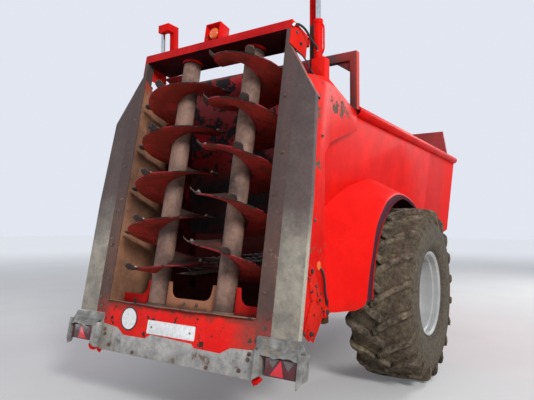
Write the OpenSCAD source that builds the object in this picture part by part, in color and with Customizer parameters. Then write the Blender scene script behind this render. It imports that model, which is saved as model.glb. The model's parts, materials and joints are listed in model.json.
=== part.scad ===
/* [Rear frame] */
// Height of the rear sill, where the beater frame meets the deck
sill_h = 900; // [800:10:1000]
// Forward lean of the beater frame, in degrees
lean = 10.6; // [6:0.1:12]
// Half the clear width between the beater posts
opening_half = 800; // [796:1:830]
// Width of the front face of a beater post
post_w = 135; // [110:5:160]
// Thickness of the face of a beater post
post_t = 10; // [8:1:12]
// Depth of a beater post
post_d = 90; // [80:5:100]
// Distance up the leaning frame from the sill to the top of the beam
frame_h = 2407; // [2390:1:2440]
// Height of the top beam
beam_h = 80; // [60:5:100]
// Depth of the top beam
beam_d = 330; // [280:10:340]
// Wall thickness of the beam and the posts
tube_t = 8; // [6:1:12]
// Half width over the wing panels at the bottom
wing_half = 1160; // [1100:10:1200]
// Half width over the wing panels where their chamfer starts
wing_knee_half = 1120; // [1060:10:1150]
// Distance up the frame to where the wing starts to taper
wing_taper_s = 900; // [800:10:1000]
// Distance up the frame to the start of the chamfer
chamfer_low_s = 1715; // [1600:5:1800]
// Distance up the frame to the end of the chamfer
chamfer_high_s = 2190; // [2100:5:2250]
// Half width of the frame at its top
head_half = 835; // [833:1:838]
// Depth of the folded edge of a wing
wing_flange = 45; // [30:5:60]
// Thickness of the wing sheets
sheet_t = 5; // [4:1:8]

/* [Beaters] */
// Distance of a beater's axis from the middle of the machine
beater_x = 369; // [360:1:374]
// Distance of a beater's axis forward of the frame plane
beater_off = 180; // [170:1:190]
// Diameter of a beater tube
beater_tube_d = 168; // [140:1:190]
// Wall thickness of a beater tube
beater_tube_t = 12; // [8:1:16]
// Outer diameter of the beater flights
flight_d = 720; // [660:2:740]
// Diameter over the beater knives
knife_d = 826; // [780:2:832]
// Pitch of the flights
flight_pitch = 410; // [360:5:440]
// Thickness of the flights
flight_t = 12; // [8:1:14]
// Turns of the flight on one beater
flight_turns = 4.75; // [4:0.25:4.75]
// Width of a knife
knife_w = 70; // [50:5:80]
// Length of a knife that lies on its flight
knife_seat = 50; // [40:5:60]
// Diameter of the stub shafts at a beater's ends
stub_d = 70; // [60:1:90]

/* [Deck, apron and bumper] */
// Distance the apron reaches down below the sill
apron_drop = 420; // [380:5:460]
// Half width of the apron below the posts
apron_half = 820; // [815:1:830]
// Depth of the deck under the beaters
deck_d = 700; // [690:1:704]
// Thickness of the deck, the apron and the bumper
plate_t = 6; // [5:1:8]
// Height of the bumper at its ends
bumper_end_h = 205; // [180:5:220]
// Height of the bumper under the speed disc
bumper_low_h = 153; // [130:1:170]
// Height of the scalloped guard at its horns
guard_h = 220; // [190:5:225]
// Height of the guard at the bottom of a scallop
guard_low_h = 85; // [60:5:110]
// Length of the number plate
plate_len = 520; // [500:10:540]
// Height of the number plate
plate_h = 110; // [100:5:120]
// Diameter of the speed disc
disc_d = 200; // [180:5:210]

/* [Rear lights] */
// Half width over the light brackets
bracket_half = 1240; // [1200:10:1260]
// Distance the brackets stand out behind the apron
bracket_out = 60; // [50:5:80]
// Length of a tail lamp
lamp_len = 255; // [230:5:265]
// Height of a tail lamp
lamp_h = 130; // [110:5:140]
// Width of the beacon box
beacon_w = 170; // [140:5:200]
// Height of the beacon box
beacon_h = 180; // [150:5:210]
// Diameter of the beacon lens
beacon_lens_d = 120; // [90:5:130]

/* [Hopper] */
// Distance from the sill to the front wall
hopper_front = 5600; // [5400:20:5800]
// Distance from the sill to the rear edge of the side walls
hopper_back = 700; // [698:1:705]
// Half the clear width of the lower hopper
floor_half = 755; // [745:1:760]
// Height of the hopper floor
floor_z = 1200; // [1190:1:1210]
// Height of the feet of the side walls
wall_foot_z = 1080; // [1076:1:1084]
// Height where the side walls leave the upright
knee_low_z = 1440; // [1400:5:1460]
// Height of the outer knee of the side walls
knee_z = 1525; // [1500:5:1560]
// Inner half width at the outer knee
knee_half = 865; // [850:1:880]
// Distance the side walls are narrower over the wheels, at the outer knee
wall_tuck = 60; // [40:5:70]
// Distance from the sill to the rear end of the fold ahead of the wheels
fold_back = 2950; // [2800:25:3100]
// Distance from the sill to the front end of the fold ahead of the wheels
fold_front = 4100; // [4000:25:4300]
// Half width over the top of the side walls
rail_x = 1000; // [990:1:1010]
// Height of the middle of the top rails
rail_z = 2680; // [2600:10:2760]
// Diameter of the top rails
rail_d = 100; // [80:2:110]
// Thickness of the hopper sheets
wall_t = 6; // [5:1:8]
// Height of the headboard above the front wall
headboard_h = 510; // [400:10:600]
// Half width of the headboard at its top
headboard_half = 826; // [780:2:850]
// Height of the hoop above the rail
hoop_h = 560; // [500:10:620]
// Side of the hoop's square tube
hoop_tube = 70; // [60:2:80]
// Distance from the sill to the hoop
hoop_back = 1360; // [1330:5:1500]
// Pitch of the floor slats
slat_pitch = 640; // [500:10:700]

/* [Door] */
// Width of the door panel
door_w = 1490; // [1460:2:1496]
// Height of the door's lower edge as it stands
door_low_z = 1490; // [1460:5:1560]
// Height of the door's upper edge as it stands
door_high_z = 3100; // [3060:5:3140]
// Distance from the sill to the rear face of the door
door_y = 1020; // [1020:1:1024]
// Side of the door arms' square tube
arm_tube = 65; // [56:1:66]
// Height of the top of the door arms
arm_top_z = 3700; // [3650:10:3760]
// Bare length of the cylinder rods as the door stands
rod_show = 270; // [250:5:300]
// Length of the cylinder barrels
barrel_len = 1400; // [1350:10:1450]
// Diameter of the cylinder barrels
barrel_d = 76; // [70:1:80]
// Diameter of the cylinder rods
rod_d = 45; // [40:1:50]
// Radial clearance of a rod in its barrel
rod_gap = 1; // [0.5:0.1:2]

/* [Wheels and fenders] */
// Distance from the sill to the wheel axis
wheel_y = 2266; // [2200:2:2320]
// Outer diameter of the tyres
tyre_d = 1770; // [1700:10:1800]
// Width of the tyres
tyre_w = 645; // [600:5:650]
// Lugs on each half of a tyre's tread
lug_count = 20; // [18:1:23]
// Height of the lugs
lug_h = 42; // [36:1:46]
// Width of a lug along the tread
lug_w = 70; // [56:2:76]
// Thickness of the tyres under the tread
tread_t = 30; // [24:2:40]
// Thickness of the tyres' sides
side_t = 30; // [25:1:40]
// Distance of a tyre's middle plane from the middle of the machine
track_half = 1168; // [1160:1:1200]
// Diameter of the rim at the bead seats
bead_d = 813; // [800:1:830]
// Height of the rim flanges above the bead seats
rim_flange = 24; // [18:1:30]
// Width of the rim between its flanges
rim_w = 533; // [500:1:540]
// Diameter of the wheel spindles
spindle_d = 110; // [90:2:130]
// Running clearance of the hub on its spindle
run_gap = 0.05; // [0.02:0.01:0.1]
// Side of the square axle beam
axle_side = 150; // [140:1:150]
// Half width over the fenders
fender_half = 1200; // [1150:5:1260]
// Depth of the fender's turned edge
fender_lip = 45; // [35:5:50]

/* [Chassis and drawbar] */
// Distance of a chassis rail's middle from the middle of the machine
rail_mid = 430; // [400:5:480]
// Width of a chassis rail
chassis_w = 100; // [80:5:120]
// Distance from the hopper's front wall to the hitch eye
drawbar_len = 1900; // [1800:20:2000]
// Height of the middle of the hitch eye
hitch_z = 560; // [520:10:600]
// Diameter of the hitch eye's hole
hitch_bore = 50; // [40:1:50]
// Outer diameter of the hitch eye
hitch_od = 120; // [110:2:140]
// Thickness of the hitch eye
hitch_t = 45; // [30:1:50]
// Distance from the hopper's front wall to the jack
jack_fwd = 950; // [850:10:1000]
// Distance of the jack from the middle of the machine
jack_x = 400; // [380:5:420]
// Outer side of the jack's sleeve
jack_side = 100; // [90:2:110]
// Wall thickness of the jack's sleeve
jack_wall = 6.7; // [5:0.1:8]
// Length of the jack's sleeve
jack_sleeve_len = 700; // [640:10:740]
// Diameter of the drive shaft's guard
guard_tube_d = 80; // [60:2:90]
// Diameter of the splined input shaft
pto_d = 34.9; // [34.9:0.1:44.5]
// Free length of the splined input shaft
pto_len = 90; // [76:1:100]
// Side of the beater gearboxes
gear_side = 260; // [220:5:280]
// Height of the beater gearboxes
gear_h = 250; // [225:5:260]

/* [Hidden] */
$fn = 64;

// Small sizes
big = 10000;
seat_gap = 0.3;
bead_gap = 0.3;
hub_len = 190;
deck_seat = 20;

// First step of the flights above the deck, where a knife points straight back
flight_low_s = 273;

// Reach behind and in front of the sill, which puts the origin mid-length
rear_reach = max(apron_drop * sin(lean) + bracket_out * cos(lean),
  (knife_d / 2 - beater_off) * cos(lean) - flight_low_s * sin(lean));
hitch_y = hopper_front + drawbar_len;
front_reach = hitch_y + hitch_od / 2;
sill_y = (rear_reach - front_reach) / 2;

// Heights that follow the axle
axle_z = tyre_d / 2;
axle_top = axle_z + axle_side / 2;
driveline_z = axle_z - axle_side / 2 - 90;

// Beater frame: places along the leaning plane
post_foot_s = -110;
beam_low_s = frame_h - beam_h;
seat_top_s = deck_seat;
collar_h = 28;
beater_top_s = beam_low_s - collar_h;
flight_steps = 32;

// Door gear: the arms' setback from the door, their lap on it and the hidden ends of the cylinders
arm_back = 220;
arm_x = opening_half + wall_t + 6;
arm_y = door_y - arm_back;
arm_lap = 750;
arm_foot_z = door_high_z - arm_lap;
cheek_h = 80;
barrel_x = arm_x + arm_tube + barrel_d / 2 + 8;
barrel_y = arm_y - barrel_d / 2 - 12;
barrel_floor = 30;
collar_z = 2830;
hook_h = 80;
barrel_top_z = arm_top_z - hook_h - rod_show;

// Hopper sections
guide_y = door_y + 55;
strip_t = 6;
chain_h = 28;
slat_h = 40;
slat_w = 50;
run_drop = floor_z - 88;
shaft_back = 130;
shaft_y = hopper_back + shaft_back;
shaft_z = (floor_z + chain_h + run_drop) / 2;
plate_x = rail_x;

// Places a part that is measured from the sill along the ground
module at_sill() {
  translate([0, sill_y, 0]) children();
}

// Places a part in the leaning rear plane: X across, Y forward of the plane, Z up the plane
module in_rear_plane() {
  translate([0, sill_y, sill_h]) rotate([-lean, 0, 0]) children();
}

// Draws a part on the right and its mirror image on the left
module both_sides() {
  children();
  mirror([1, 0, 0]) children();
}

// Extrudes an outline drawn in Y and Z along +X from x
module across(x, len) {
  translate([x, 0, 0]) rotate([90, 0, 90]) linear_extrude(len) children();
}

// Extrudes an outline drawn in X and Z along +Y from y
module along(y, len) {
  translate([0, y + len, 0]) rotate([90, 0, 0]) linear_extrude(len) children();
}

// A block between two corners
module block(low, high) {
  translate(low) cube(high - low);
}

// A bar along +Y with the middle of its near end at a point
module bar_y(at, len, d) {
  translate(at) rotate([-90, 0, 0]) cylinder(h = len, d = d);
}

// Height and distance of a point in the leaning plane, measured from the sill
function plane_y(off, s) = off * cos(lean) + s * sin(lean);
function plane_z(off, s) = sill_h + s * cos(lean) - off * sin(lean);

// Inner face of a side wall from foot to rail, moved outwards by dx, its knee moved in by tuck
function wall_line(dx, tuck = 0) = [
  [floor_half + dx, wall_foot_z],
  [floor_half + dx, knee_low_z],
  [knee_half - tuck + dx, knee_z],
  [rail_x - wall_t + dx, rail_z]
];
function reversed(list) = [for (i = [len(list) - 1 : -1 : 0]) list[i]];
function mirrored(list) = [for (p = reversed(list)) [-p[0], p[1]]];

// Arch of a fender, from its rear foot over the wheel to its front foot: places in Y and Z
// on the outer lip and on the crease, both measured from the wheel's axis with a sill at zero
arch_lip = [
  [1125, 850], [1140, 960], [1185, 1140], [1262, 1314], [1325, 1470], [1406, 1607], [1574, 1754],
  [1740, 1850], [2017, 1914], [2351, 1895], [2650, 1808], [2960, 1610], [3140, 1350]
];
arch_crease = [
  [hopper_back + 4, 850], [hopper_back + 6, 1000], [770, 1200], [905, 1410], [1001, 1566],
  [1189, 1745], [1440, 1895], [1660, 1975], [1968, 2045], [2360, 2030], [2720, 1940],
  [3080, 1720], [3290, 1440]
];
crease_x = 950;
arch_mid = [2150, 850];

// Moves an arch towards the wheel, carries it on from the crease to a distance across,
// and keeps it in front of the rear plate
function arch_in(list, t) = [for (p = list) let (v = arch_mid - p) p + v * t / norm(v)];
function arch_at(x, t) =
  let (share = (x - crease_x) / (fender_half - crease_x), lip = arch_in(arch_lip, t),
    crease = arch_in(arch_crease, t))
  [for (i = [0 : len(lip) - 1])
    let (p = crease[i] + (lip[i] - crease[i]) * share) [max(p[0], hopper_back + 2 + t), p[1]]];

// Solid under a fender between stations across, made smaller by t and carried down by drop
module arch_body(stations, t, drop) {
  loops = [for (x = stations) let (a = arch_at(x, t))
    concat([[a[0][0], a[0][1] - drop]], a, [[a[len(a) - 1][0], a[len(a) - 1][1] - drop]])];
  n = len(loops[0]);
  points = [for (i = [0 : len(stations) - 1]) each [for (p = loops[i]) [stations[i], p[0], p[1]]]];
  last = len(stations) - 1;
  sides = [
    for (i = [0 : last - 1])
      for (k = [0 : n - 1])
        let (a = n * i + k, b = n * i + (k + 1) % n, c = b + n, d = a + n)
        each [[a, b, c], [a, c, d]]
  ];
  caps = [
    [for (k = [n - 1 : -1 : 0]) k],
    [for (k = [0 : n - 1]) n * last + k]
  ];
  at_sill() polyhedron(points = points, faces = concat(sides, caps), convexity = 6);
}

// Chassis

cross_places = [hopper_back + 40, 1500, 3100, 4200, hopper_front - 40];
cross_w = 80;

module chassis_frame() {
  color("firebrick") at_sill() {
    both_sides() difference() {
      block([rail_mid - chassis_w / 2, hopper_back, axle_top],
        [rail_mid + chassis_w / 2, hopper_front + 100, wall_foot_z]);
      block([rail_mid - chassis_w / 2 + tube_t, hopper_back - 1, axle_top + tube_t],
        [rail_mid + chassis_w / 2 - tube_t, hopper_front + 101, wall_foot_z - tube_t]);
    }
    for (y = cross_places)
      for (span = [[-floor_half - wall_t, -rail_mid - chassis_w / 2],
          [-rail_mid + chassis_w / 2, rail_mid - chassis_w / 2],
          [rail_mid + chassis_w / 2, floor_half + wall_t]])
        block([span[0], y - cross_w / 2, axle_top], [span[1], y + cross_w / 2, wall_foot_z]);
    difference() {
      block([-plate_x, hopper_back, plane_z(deck_d, 0)], [plate_x, hopper_back + cross_w, axle_top]);
      block([-plate_x - 1, hopper_back + tube_t, plane_z(deck_d, 0) + tube_t],
        [plate_x + 1, hopper_back + cross_w - tube_t, axle_top - tube_t]);
    }
  }
}

beam_half = 560;
spindle_end = 60;

module axle() {
  color("firebrick") at_sill() {
    block([-beam_half, wheel_y - axle_side / 2, axle_z - axle_side / 2],
      [beam_half, wheel_y + axle_side / 2, axle_top]);
    both_sides() translate([beam_half, wheel_y, axle_z]) rotate([0, 90, 0])
      cylinder(h = track_half + spindle_end - beam_half, d = spindle_d);
  }
}

module drawbar() {
  nose_y = hitch_y - 330;
  back_y = hopper_front + 100;
  color("firebrick") at_sill() {
    both_sides() hull() {
      block([rail_mid - chassis_w / 2, back_y, axle_top],
        [rail_mid + chassis_w / 2, back_y + 10, wall_foot_z]);
      block([10, nose_y - 10, hitch_z - 60], [110, nose_y, hitch_z + 60]);
    }
    block([-110, nose_y, hitch_z - 60], [110, hitch_y - 150, hitch_z + 60]);
    block([-jack_x + jack_side / 2, hopper_front + jack_fwd - 60, hitch_z + 130],
      [-160, hopper_front + jack_fwd + 60, hitch_z + 210]);
  }
}

module hitch_eye() {
  color("dimgray") at_sill() difference() {
    union() {
      translate([0, hitch_y, hitch_z - hitch_t / 2]) cylinder(h = hitch_t, d = hitch_od);
      block([-40, hitch_y - 150, hitch_z - hitch_t / 2],
        [40, hitch_y - hitch_od / 4, hitch_z + hitch_t / 2]);
    }
    translate([0, hitch_y, hitch_z - hitch_t]) cylinder(h = 2 * hitch_t, d = hitch_bore);
  }
}

jack_leg_side = jack_side - 2 * jack_wall - 2 * seat_gap;
jack_cap = 20;
jack_travel = 400;
jack_low = jack_travel + 30;
jack_leg_top = jack_low + jack_sleeve_len - jack_cap - jack_travel - 10;
jack_foot = 220;
jack_foot_t = 14;

module jack_sleeve() {
  color("dimgray") at_sill() translate([-jack_x, hopper_front + jack_fwd, jack_low])
    difference() {
      block([-jack_side / 2, -jack_side / 2, 0], [jack_side / 2, jack_side / 2, jack_sleeve_len]);
      block([jack_wall - jack_side / 2, jack_wall - jack_side / 2, -1],
        [jack_side / 2 - jack_wall, jack_side / 2 - jack_wall, jack_sleeve_len - jack_cap]);
    }
}

module jack_leg() {
  color("silver") at_sill() translate([-jack_x, hopper_front + jack_fwd, 0]) {
    block([-jack_leg_side / 2, -jack_leg_side / 2, 0],
      [jack_leg_side / 2, jack_leg_side / 2, jack_leg_top]);
    block([-jack_foot / 2, -jack_foot / 2, 0], [jack_foot / 2, jack_foot / 2, jack_foot_t]);
  }
}

// Drive line

gearbox_y = hopper_front + 20;
gearbox_len = 230;
gearbox_half = 130;
neck_half = 90;
input_y = gearbox_y + gearbox_len;
journal_d = pto_d + 15.1;
journal_len = 80;

module front_gearbox() {
  color("dimgray") at_sill() difference() {
    union() {
      block([-gearbox_half, gearbox_y, driveline_z - gearbox_half],
        [gearbox_half, input_y, driveline_z + gearbox_half]);
      block([-neck_half, gearbox_y + 20, driveline_z + gearbox_half],
        [neck_half, input_y - 60, axle_top]);
      block([-rail_mid + chassis_w / 2, gearbox_y + 20, axle_top],
        [rail_mid - chassis_w / 2, gearbox_y + 80, wall_foot_z]);
    }
    bar_y([0, input_y - journal_len - 1, driveline_z], journal_len + 2, journal_d + 2 * run_gap);
  }
}

module input_shaft() {
  shoulder_y = input_y + 5;
  color("silver") at_sill() {
    bar_y([0, input_y - journal_len, driveline_z], journal_len + 5, journal_d);
    bar_y([0, shoulder_y, driveline_z], pto_len, pto_d);
  }
}

module driveline() {
  color("gold") difference() {
    at_sill() bar_y([0, 100, driveline_z], gearbox_y - 100, guard_tube_d);
    in_rear_plane()
      translate([-big / 2, beater_off + gear_side / 2 - big, -big / 2]) cube(big);
  }
}

module rear_gearcase() {
  tube_s = -gear_h / 2;
  color("dimgray") in_rear_plane() {
    for (x = [-beater_x, 0, beater_x])
      block([x - gear_side / 2, beater_off - gear_side / 2, -gear_h],
        [x + gear_side / 2, beater_off + gear_side / 2, -plate_t]);
    translate([-beater_x, beater_off, tube_s]) rotate([0, 90, 0])
      cylinder(h = 2 * beater_x, d = guard_tube_d);
  }
}

// Hopper floor

module floor() {
  color("gray") at_sill() {
    block([-floor_half, shaft_y + 75, floor_z - 10], [floor_half, chain_front - 60, floor_z]);
    block([-floor_half, chain_front + 60, floor_z - 10], [floor_half, hopper_front, floor_z]);
  }
}

slat_count = floor((hopper_front - shaft_y - 300) / slat_pitch);
chain_inner = 190;
chain_outer = 560;
chain_x = [-chain_outer, -chain_inner, chain_inner, chain_outer];
chain_w = 30;
chain_facets = 8;
chain_front = hopper_front - 120;

module conveyor() {
  loop_r = (floor_z + chain_h - run_drop) / 2;
  color("dimgray") at_sill() {
    for (x = chain_x)
      across(x - chain_w / 2, chain_w) difference() {
        union() {
          translate([shaft_y, shaft_z]) circle(r = loop_r, $fn = chain_facets);
          translate([chain_front, shaft_z]) circle(r = loop_r, $fn = chain_facets);
          translate([shaft_y, run_drop]) square([chain_front - shaft_y, 2 * loop_r]);
        }
        for (y = [shaft_y, chain_front])
          translate([y, shaft_z])
            circle(r = (loop_r - chain_h) / cos(180 / chain_facets), $fn = chain_facets);
        translate([shaft_y, run_drop + chain_h])
          square([chain_front - shaft_y, 2 * loop_r - 2 * chain_h]);
      }
    for (i = [0 : slat_count])
      block([-floor_half + 25, shaft_y + 160 + i * slat_pitch, floor_z],
        [floor_half - 25, shaft_y + 160 + i * slat_pitch + slat_w, floor_z + slat_h]);
  }
}

module conveyor_shaft() {
  wheel_r = (floor_z + chain_h - run_drop) / 2 - chain_h;
  color("firebrick") at_sill() {
    translate([-floor_half, shaft_y, shaft_z]) rotate([0, 90, 0])
      cylinder(h = 2 * floor_half, d = 2 * wheel_r);
    translate([-floor_half, chain_front, shaft_z]) rotate([0, 90, 0])
      cylinder(h = 2 * floor_half, d = 2 * wheel_r);
  }
}

// Hopper shell

// One flat of a side wall, from one bend to the next
module wall_strip(k, tuck) {
  inner = wall_line(0, tuck);
  outer = wall_line(wall_t, tuck);
  polygon([inner[k], inner[k + 1], outer[k + 1], outer[k]]);
}

module side_wall() {
  inner = wall_line(0);
  outer = wall_line(wall_t);
  liner_x = floor_half;
  fender_gap = 1;
  foot_gap = 2;
  color("red") {
    difference() {
      at_sill() {
        along(hopper_back, fold_back - hopper_back)
          polygon(concat(wall_line(0, wall_tuck), reversed(wall_line(wall_t, wall_tuck))));
        for (k = [0 : len(inner) - 2]) hull() {
          along(fold_back, 1) wall_strip(k, wall_tuck);
          along(fold_front - 1, 1) wall_strip(k, 0);
        }
        along(fold_front, hopper_front - fold_front) polygon(concat(inner, reversed(outer)));
        along(guide_y, strip_t)
          polygon([[floor_half - 40, floor_z + slat_h + 10], [floor_half, floor_z + slat_h + 10],
            [floor_half, knee_low_z], [knee_half - wall_tuck, knee_z], [rail_x - wall_t, rail_z],
            [floor_half - 40, rail_z]]);
      }
      arch_body([floor_half + wall_t, crease_x, fender_half], -fender_gap, foot_gap);
      at_sill() bar_y([rail_x, hoop_back + hoop_tube / 2, rail_z], big, rail_d + 2 * seat_gap);
      at_sill() block([barrel_x - barrel_d / 2 - 5, hopper_back - 1, barrel_top_z - barrel_len - 5],
        [barrel_x + barrel_d / 2 + 5, barrel_y + barrel_d / 2 + 5, rail_z]);
    }
    at_sill() intersection() {
      across(liner_x, wall_t) polygon(arch_at(floor_half + wall_t, -fender_gap));
      block([liner_x, hopper_back, knee_low_z], [liner_x + wall_t, hopper_front, rail_z]);
    }
  }
}
module side_wall_right() side_wall();
module side_wall_left() mirror([1, 0, 0]) side_wall();

module fender() {
  inner_x = floor_half + wall_t;
  lip_x = fender_half - plate_t;
  color("red") difference() {
    arch_body([inner_x, crease_x, fender_half], 0, 0);
    arch_body([inner_x - 1, crease_x, lip_x], plate_t, 60);
    arch_body([lip_x - 1, fender_half + 1], fender_lip, 60);
    at_sill() block([0, hopper_back - 1, 0], [plate_x + 2, hopper_back + cross_w + 1, axle_top + 2]);
  }
}
module fender_right() fender();
module fender_left() mirror([1, 0, 0]) fender();

module rails() {
  rail_back = hoop_back + hoop_tube / 2;
  rail_len = hopper_front + wall_t - rail_back;
  color("red") at_sill() both_sides() difference() {
    bar_y([rail_x, rail_back, rail_z], rail_len, rail_d);
    bar_y([rail_x, rail_back - 1, rail_z], rail_len - tube_t, rail_d - 2 * tube_t);
  }
}

module hoop() {
  hoop_top = rail_z + hoop_h;
  beam_z = hoop_top - 85;
  color("firebrick") at_sill() {
    both_sides() {
      block([rail_x - hoop_tube / 2, hoop_back - hoop_tube / 2, rail_z],
        [rail_x + hoop_tube / 2, hoop_back + hoop_tube / 2, hoop_top]);
      along(hoop_back - 6, 12)
        polygon([[rail_x - hoop_tube / 2 - 160, beam_z], [rail_x - hoop_tube / 2, beam_z - 110],
          [rail_x - hoop_tube / 2, beam_z]]);
    }
    block([-rail_x + hoop_tube / 2, hoop_back - hoop_tube / 2, beam_z],
      [rail_x - hoop_tube / 2, hoop_back + hoop_tube / 2, hoop_top]);
  }
}

module front_wall() {
  edge = wall_line(wall_t);
  color("red") at_sill() difference() {
    along(hopper_front, wall_t) polygon(concat(edge, mirrored(edge)));
    both_sides() bar_y([rail_x, hopper_front - 1, rail_z], 3 * wall_t, rail_d);
  }
}

module headboard() {
  base_half = headboard_half + 79;
  top_z = rail_z + headboard_h;
  fold = 60;
  color("red") at_sill() difference() {
    along(hopper_front, fold)
      polygon([[-base_half, rail_z], [base_half, rail_z], [headboard_half, top_z],
        [-headboard_half, top_z]]);
    along(hopper_front + wall_t, fold)
      polygon([[-base_half + wall_t, rail_z - 1], [base_half - wall_t, rail_z - 1],
        [headboard_half - wall_t, top_z - wall_t], [-headboard_half + wall_t, top_z - wall_t]]);
  }
}

// Rear frame

// Outer side plate, drawn in Y and Z from the wing to the hopper side
rear_plate_outline = [
  [plane_y(sheet_t, post_foot_s), plane_z(sheet_t, post_foot_s)],
  [plane_y(sheet_t, 1900), plane_z(sheet_t, 1900)],
  [hopper_back, collar_z],
  [hopper_back + 95, collar_z],
  [hoop_back - hoop_tube / 2, rail_z],
  [hoop_back + hoop_tube / 2, rail_z],
  [hoop_back + hoop_tube / 2, rail_z - 200],
  [hopper_back + 430, rail_z - 277],
  [hopper_back + 115, rail_z - 390],
  [hopper_back + 8, rail_z - 500],
  [hopper_back, rail_z - 640],
  [hopper_back, sill_h - 20],
  [hopper_back - 200, sill_h - 240],
  [hopper_back - 370, sill_h - 130]
];

module rear_plate() {
  color("red") {
    at_sill() {
      across(plate_x, plate_t) polygon(rear_plate_outline);
      along(hopper_back - strip_t, strip_t)
        polygon([[floor_half, wall_foot_z], [plate_x, wall_foot_z], [plate_x, collar_z],
          [opening_half, collar_z - 120], [opening_half, knee_z + 40], [floor_half, knee_z + 40]]);
    }
    at_sill() difference() {
      block([barrel_x - barrel_d / 2 - 4, hopper_back, collar_z],
        [plate_x + plate_t, arm_y - 6, collar_z + 170]);
      translate([barrel_x, barrel_y, collar_z - 1])
        cylinder(h = 172, d = barrel_d + 2 * seat_gap);
    }
  }
}
module rear_plate_right() rear_plate();
module rear_plate_left() mirror([1, 0, 0]) rear_plate();

module chamber_walls() {
  low = [plane_y(post_t + seat_gap, -plate_t), plane_z(post_t + seat_gap, -plate_t)];
  high = [plane_y(post_t + seat_gap, 2150), plane_z(post_t + seat_gap, 2150)];
  reach = hopper_back - strip_t;
  color("dimgray") at_sill() both_sides()
    across(opening_half, wall_t)
      polygon([low, high, [reach, collar_z - 130], [reach, plane_z(reach / cos(lean), 0)]]);
}

// Wing and post outline, drawn across and up the leaning plane
chamfer_post_s = chamfer_low_s + (wing_knee_half - opening_half - post_w)
  / (wing_knee_half - head_half) * (chamfer_high_s - chamfer_low_s);

module posts() {
  tube_in = opening_half + wall_t + seat_gap;
  tube_out = opening_half + 100;
  color("sienna") in_rear_plane() both_sides() {
    along(0, post_t)
      polygon([[opening_half, post_foot_s], [opening_half + post_w, post_foot_s],
        [opening_half + post_w, chamfer_post_s], [head_half, chamfer_high_s],
        [head_half, beam_low_s], [opening_half, beam_low_s]]);
    difference() {
      block([tube_in, post_t, post_foot_s], [tube_out, post_d, chamfer_post_s]);
      block([tube_in + tube_t, post_t + tube_t, post_foot_s - 1],
        [tube_out - tube_t, post_d - tube_t, chamfer_post_s + 1]);
    }
    block([tube_in, post_t, chamfer_post_s], [head_half, post_d, beam_low_s]);
  }
}

module wings() {
  foot = [wing_half, post_foot_s];
  taper = [wing_half, wing_taper_s];
  knee = [wing_knee_half, chamfer_low_s];
  tip = [opening_half + post_w, chamfer_post_s];
  root = [opening_half + post_w, post_foot_s];
  color("lightslategray") in_rear_plane() both_sides() {
    along(0, sheet_t) polygon([root, foot, taper, knee, tip]);
    along(sheet_t, wing_flange)
      polygon([foot, taper, knee, [knee[0] - sheet_t, knee[1] - 2],
        [taper[0] - sheet_t, taper[1]], [foot[0] - sheet_t, foot[1]]]);
  }
}

module top_beam() {
  cheek_d = 275;
  color("red") in_rear_plane() {
    difference() {
      block([-head_half, 0, beam_low_s], [head_half, beam_d, frame_h]);
      block([-head_half - 1, tube_t, beam_low_s + tube_t],
        [head_half + 1, beam_d - tube_t, frame_h - tube_t]);
    }
    both_sides() block([head_half, 0, chamfer_high_s], [head_half + tube_t, cheek_d, frame_h]);
    both_sides() difference() {
      translate([beater_x, beater_off, beater_top_s + 1])
        cylinder(h = collar_h - 1, d = beater_tube_d + 24);
      translate([beater_x, beater_off, beater_top_s])
        cylinder(h = collar_h - 6, d = stub_d + 2 * run_gap);
    }
  }
}

module deck() {
  color("sienna") in_rear_plane() {
    difference() {
      union() {
        block([-opening_half, 0, -plate_t], [opening_half, deck_d, 0]);
        both_sides() translate([beater_x, beater_off, -plate_t])
          cylinder(h = deck_seat + plate_t, d = beater_tube_d + 30);
      }
      both_sides() translate([beater_x, beater_off, 0])
        cylinder(h = deck_seat + 1, d = stub_d + 2 * run_gap);
    }
  }
}

module guard() {
  slot = beater_tube_d / 2 + 16;
  horn = 40;
  // Each trough runs from one X to another: left, middle, right
  troughs = [
    [-opening_half, -beater_x - slot, 0, 1],
    [-beater_x + slot, beater_x - slot, 1, 1],
    [beater_x + slot, opening_half, 1, 0]
  ];
  color("red") in_rear_plane() for (t = troughs) {
    x0 = t[0];
    x1 = t[1];
    left_horn = t[2];
    right_horn = t[3];
    along(beater_off - 5, 10) difference() {
      translate([x0, 0]) square([x1 - x0, guard_h]);
      hull() {
        translate([x0 + left_horn * (horn + guard_low_h), guard_low_h + 75]) circle(r = 75);
        translate([x1 - right_horn * (horn + guard_low_h), guard_low_h + 75]) circle(r = 75);
        translate([x0 + left_horn * horn - (1 - left_horn) * 100, guard_h + 1])
          square([x1 - x0 - (left_horn + right_horn) * horn
            + (2 - left_horn - right_horn) * 100, 1]);
      }
    }
  }
}

module apron() {
  color("red") in_rear_plane() along(0, plate_t)
    polygon([[-opening_half, -plate_t], [opening_half, -plate_t],
      [opening_half, post_foot_s], [apron_half, post_foot_s],
      [apron_half, -apron_drop], [-apron_half, -apron_drop],
      [-apron_half, post_foot_s], [-opening_half, post_foot_s]]);
}

// Steps of the bumper's upper edge: X and height above the bumper's foot
module bumper() {
  mid_h = bumper_low_h + 38;
  steps = [
    [apron_half, bumper_end_h], [603, bumper_end_h - 12], [511, bumper_low_h - 10],
    [255, bumper_low_h - 6], [229, bumper_low_h + 22], [-220, mid_h],
    [-277, bumper_low_h], [-538, bumper_low_h - 2], [-623, bumper_end_h], [-apron_half, bumper_end_h + 20]
  ];
  color("lightslategray") in_rear_plane() {
    along(-plate_t, plate_t)
      polygon(concat([[-apron_half, -apron_drop], [apron_half, -apron_drop]],
        [for (p = steps) [p[0], p[1] - apron_drop]]));
  }
}

module number_plate() {
  color("white") in_rear_plane()
    block([-12 - plate_len / 2, -3, -170 - plate_h / 2], [-12 + plate_len / 2, 0, -170 + plate_h / 2]);
}

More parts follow.
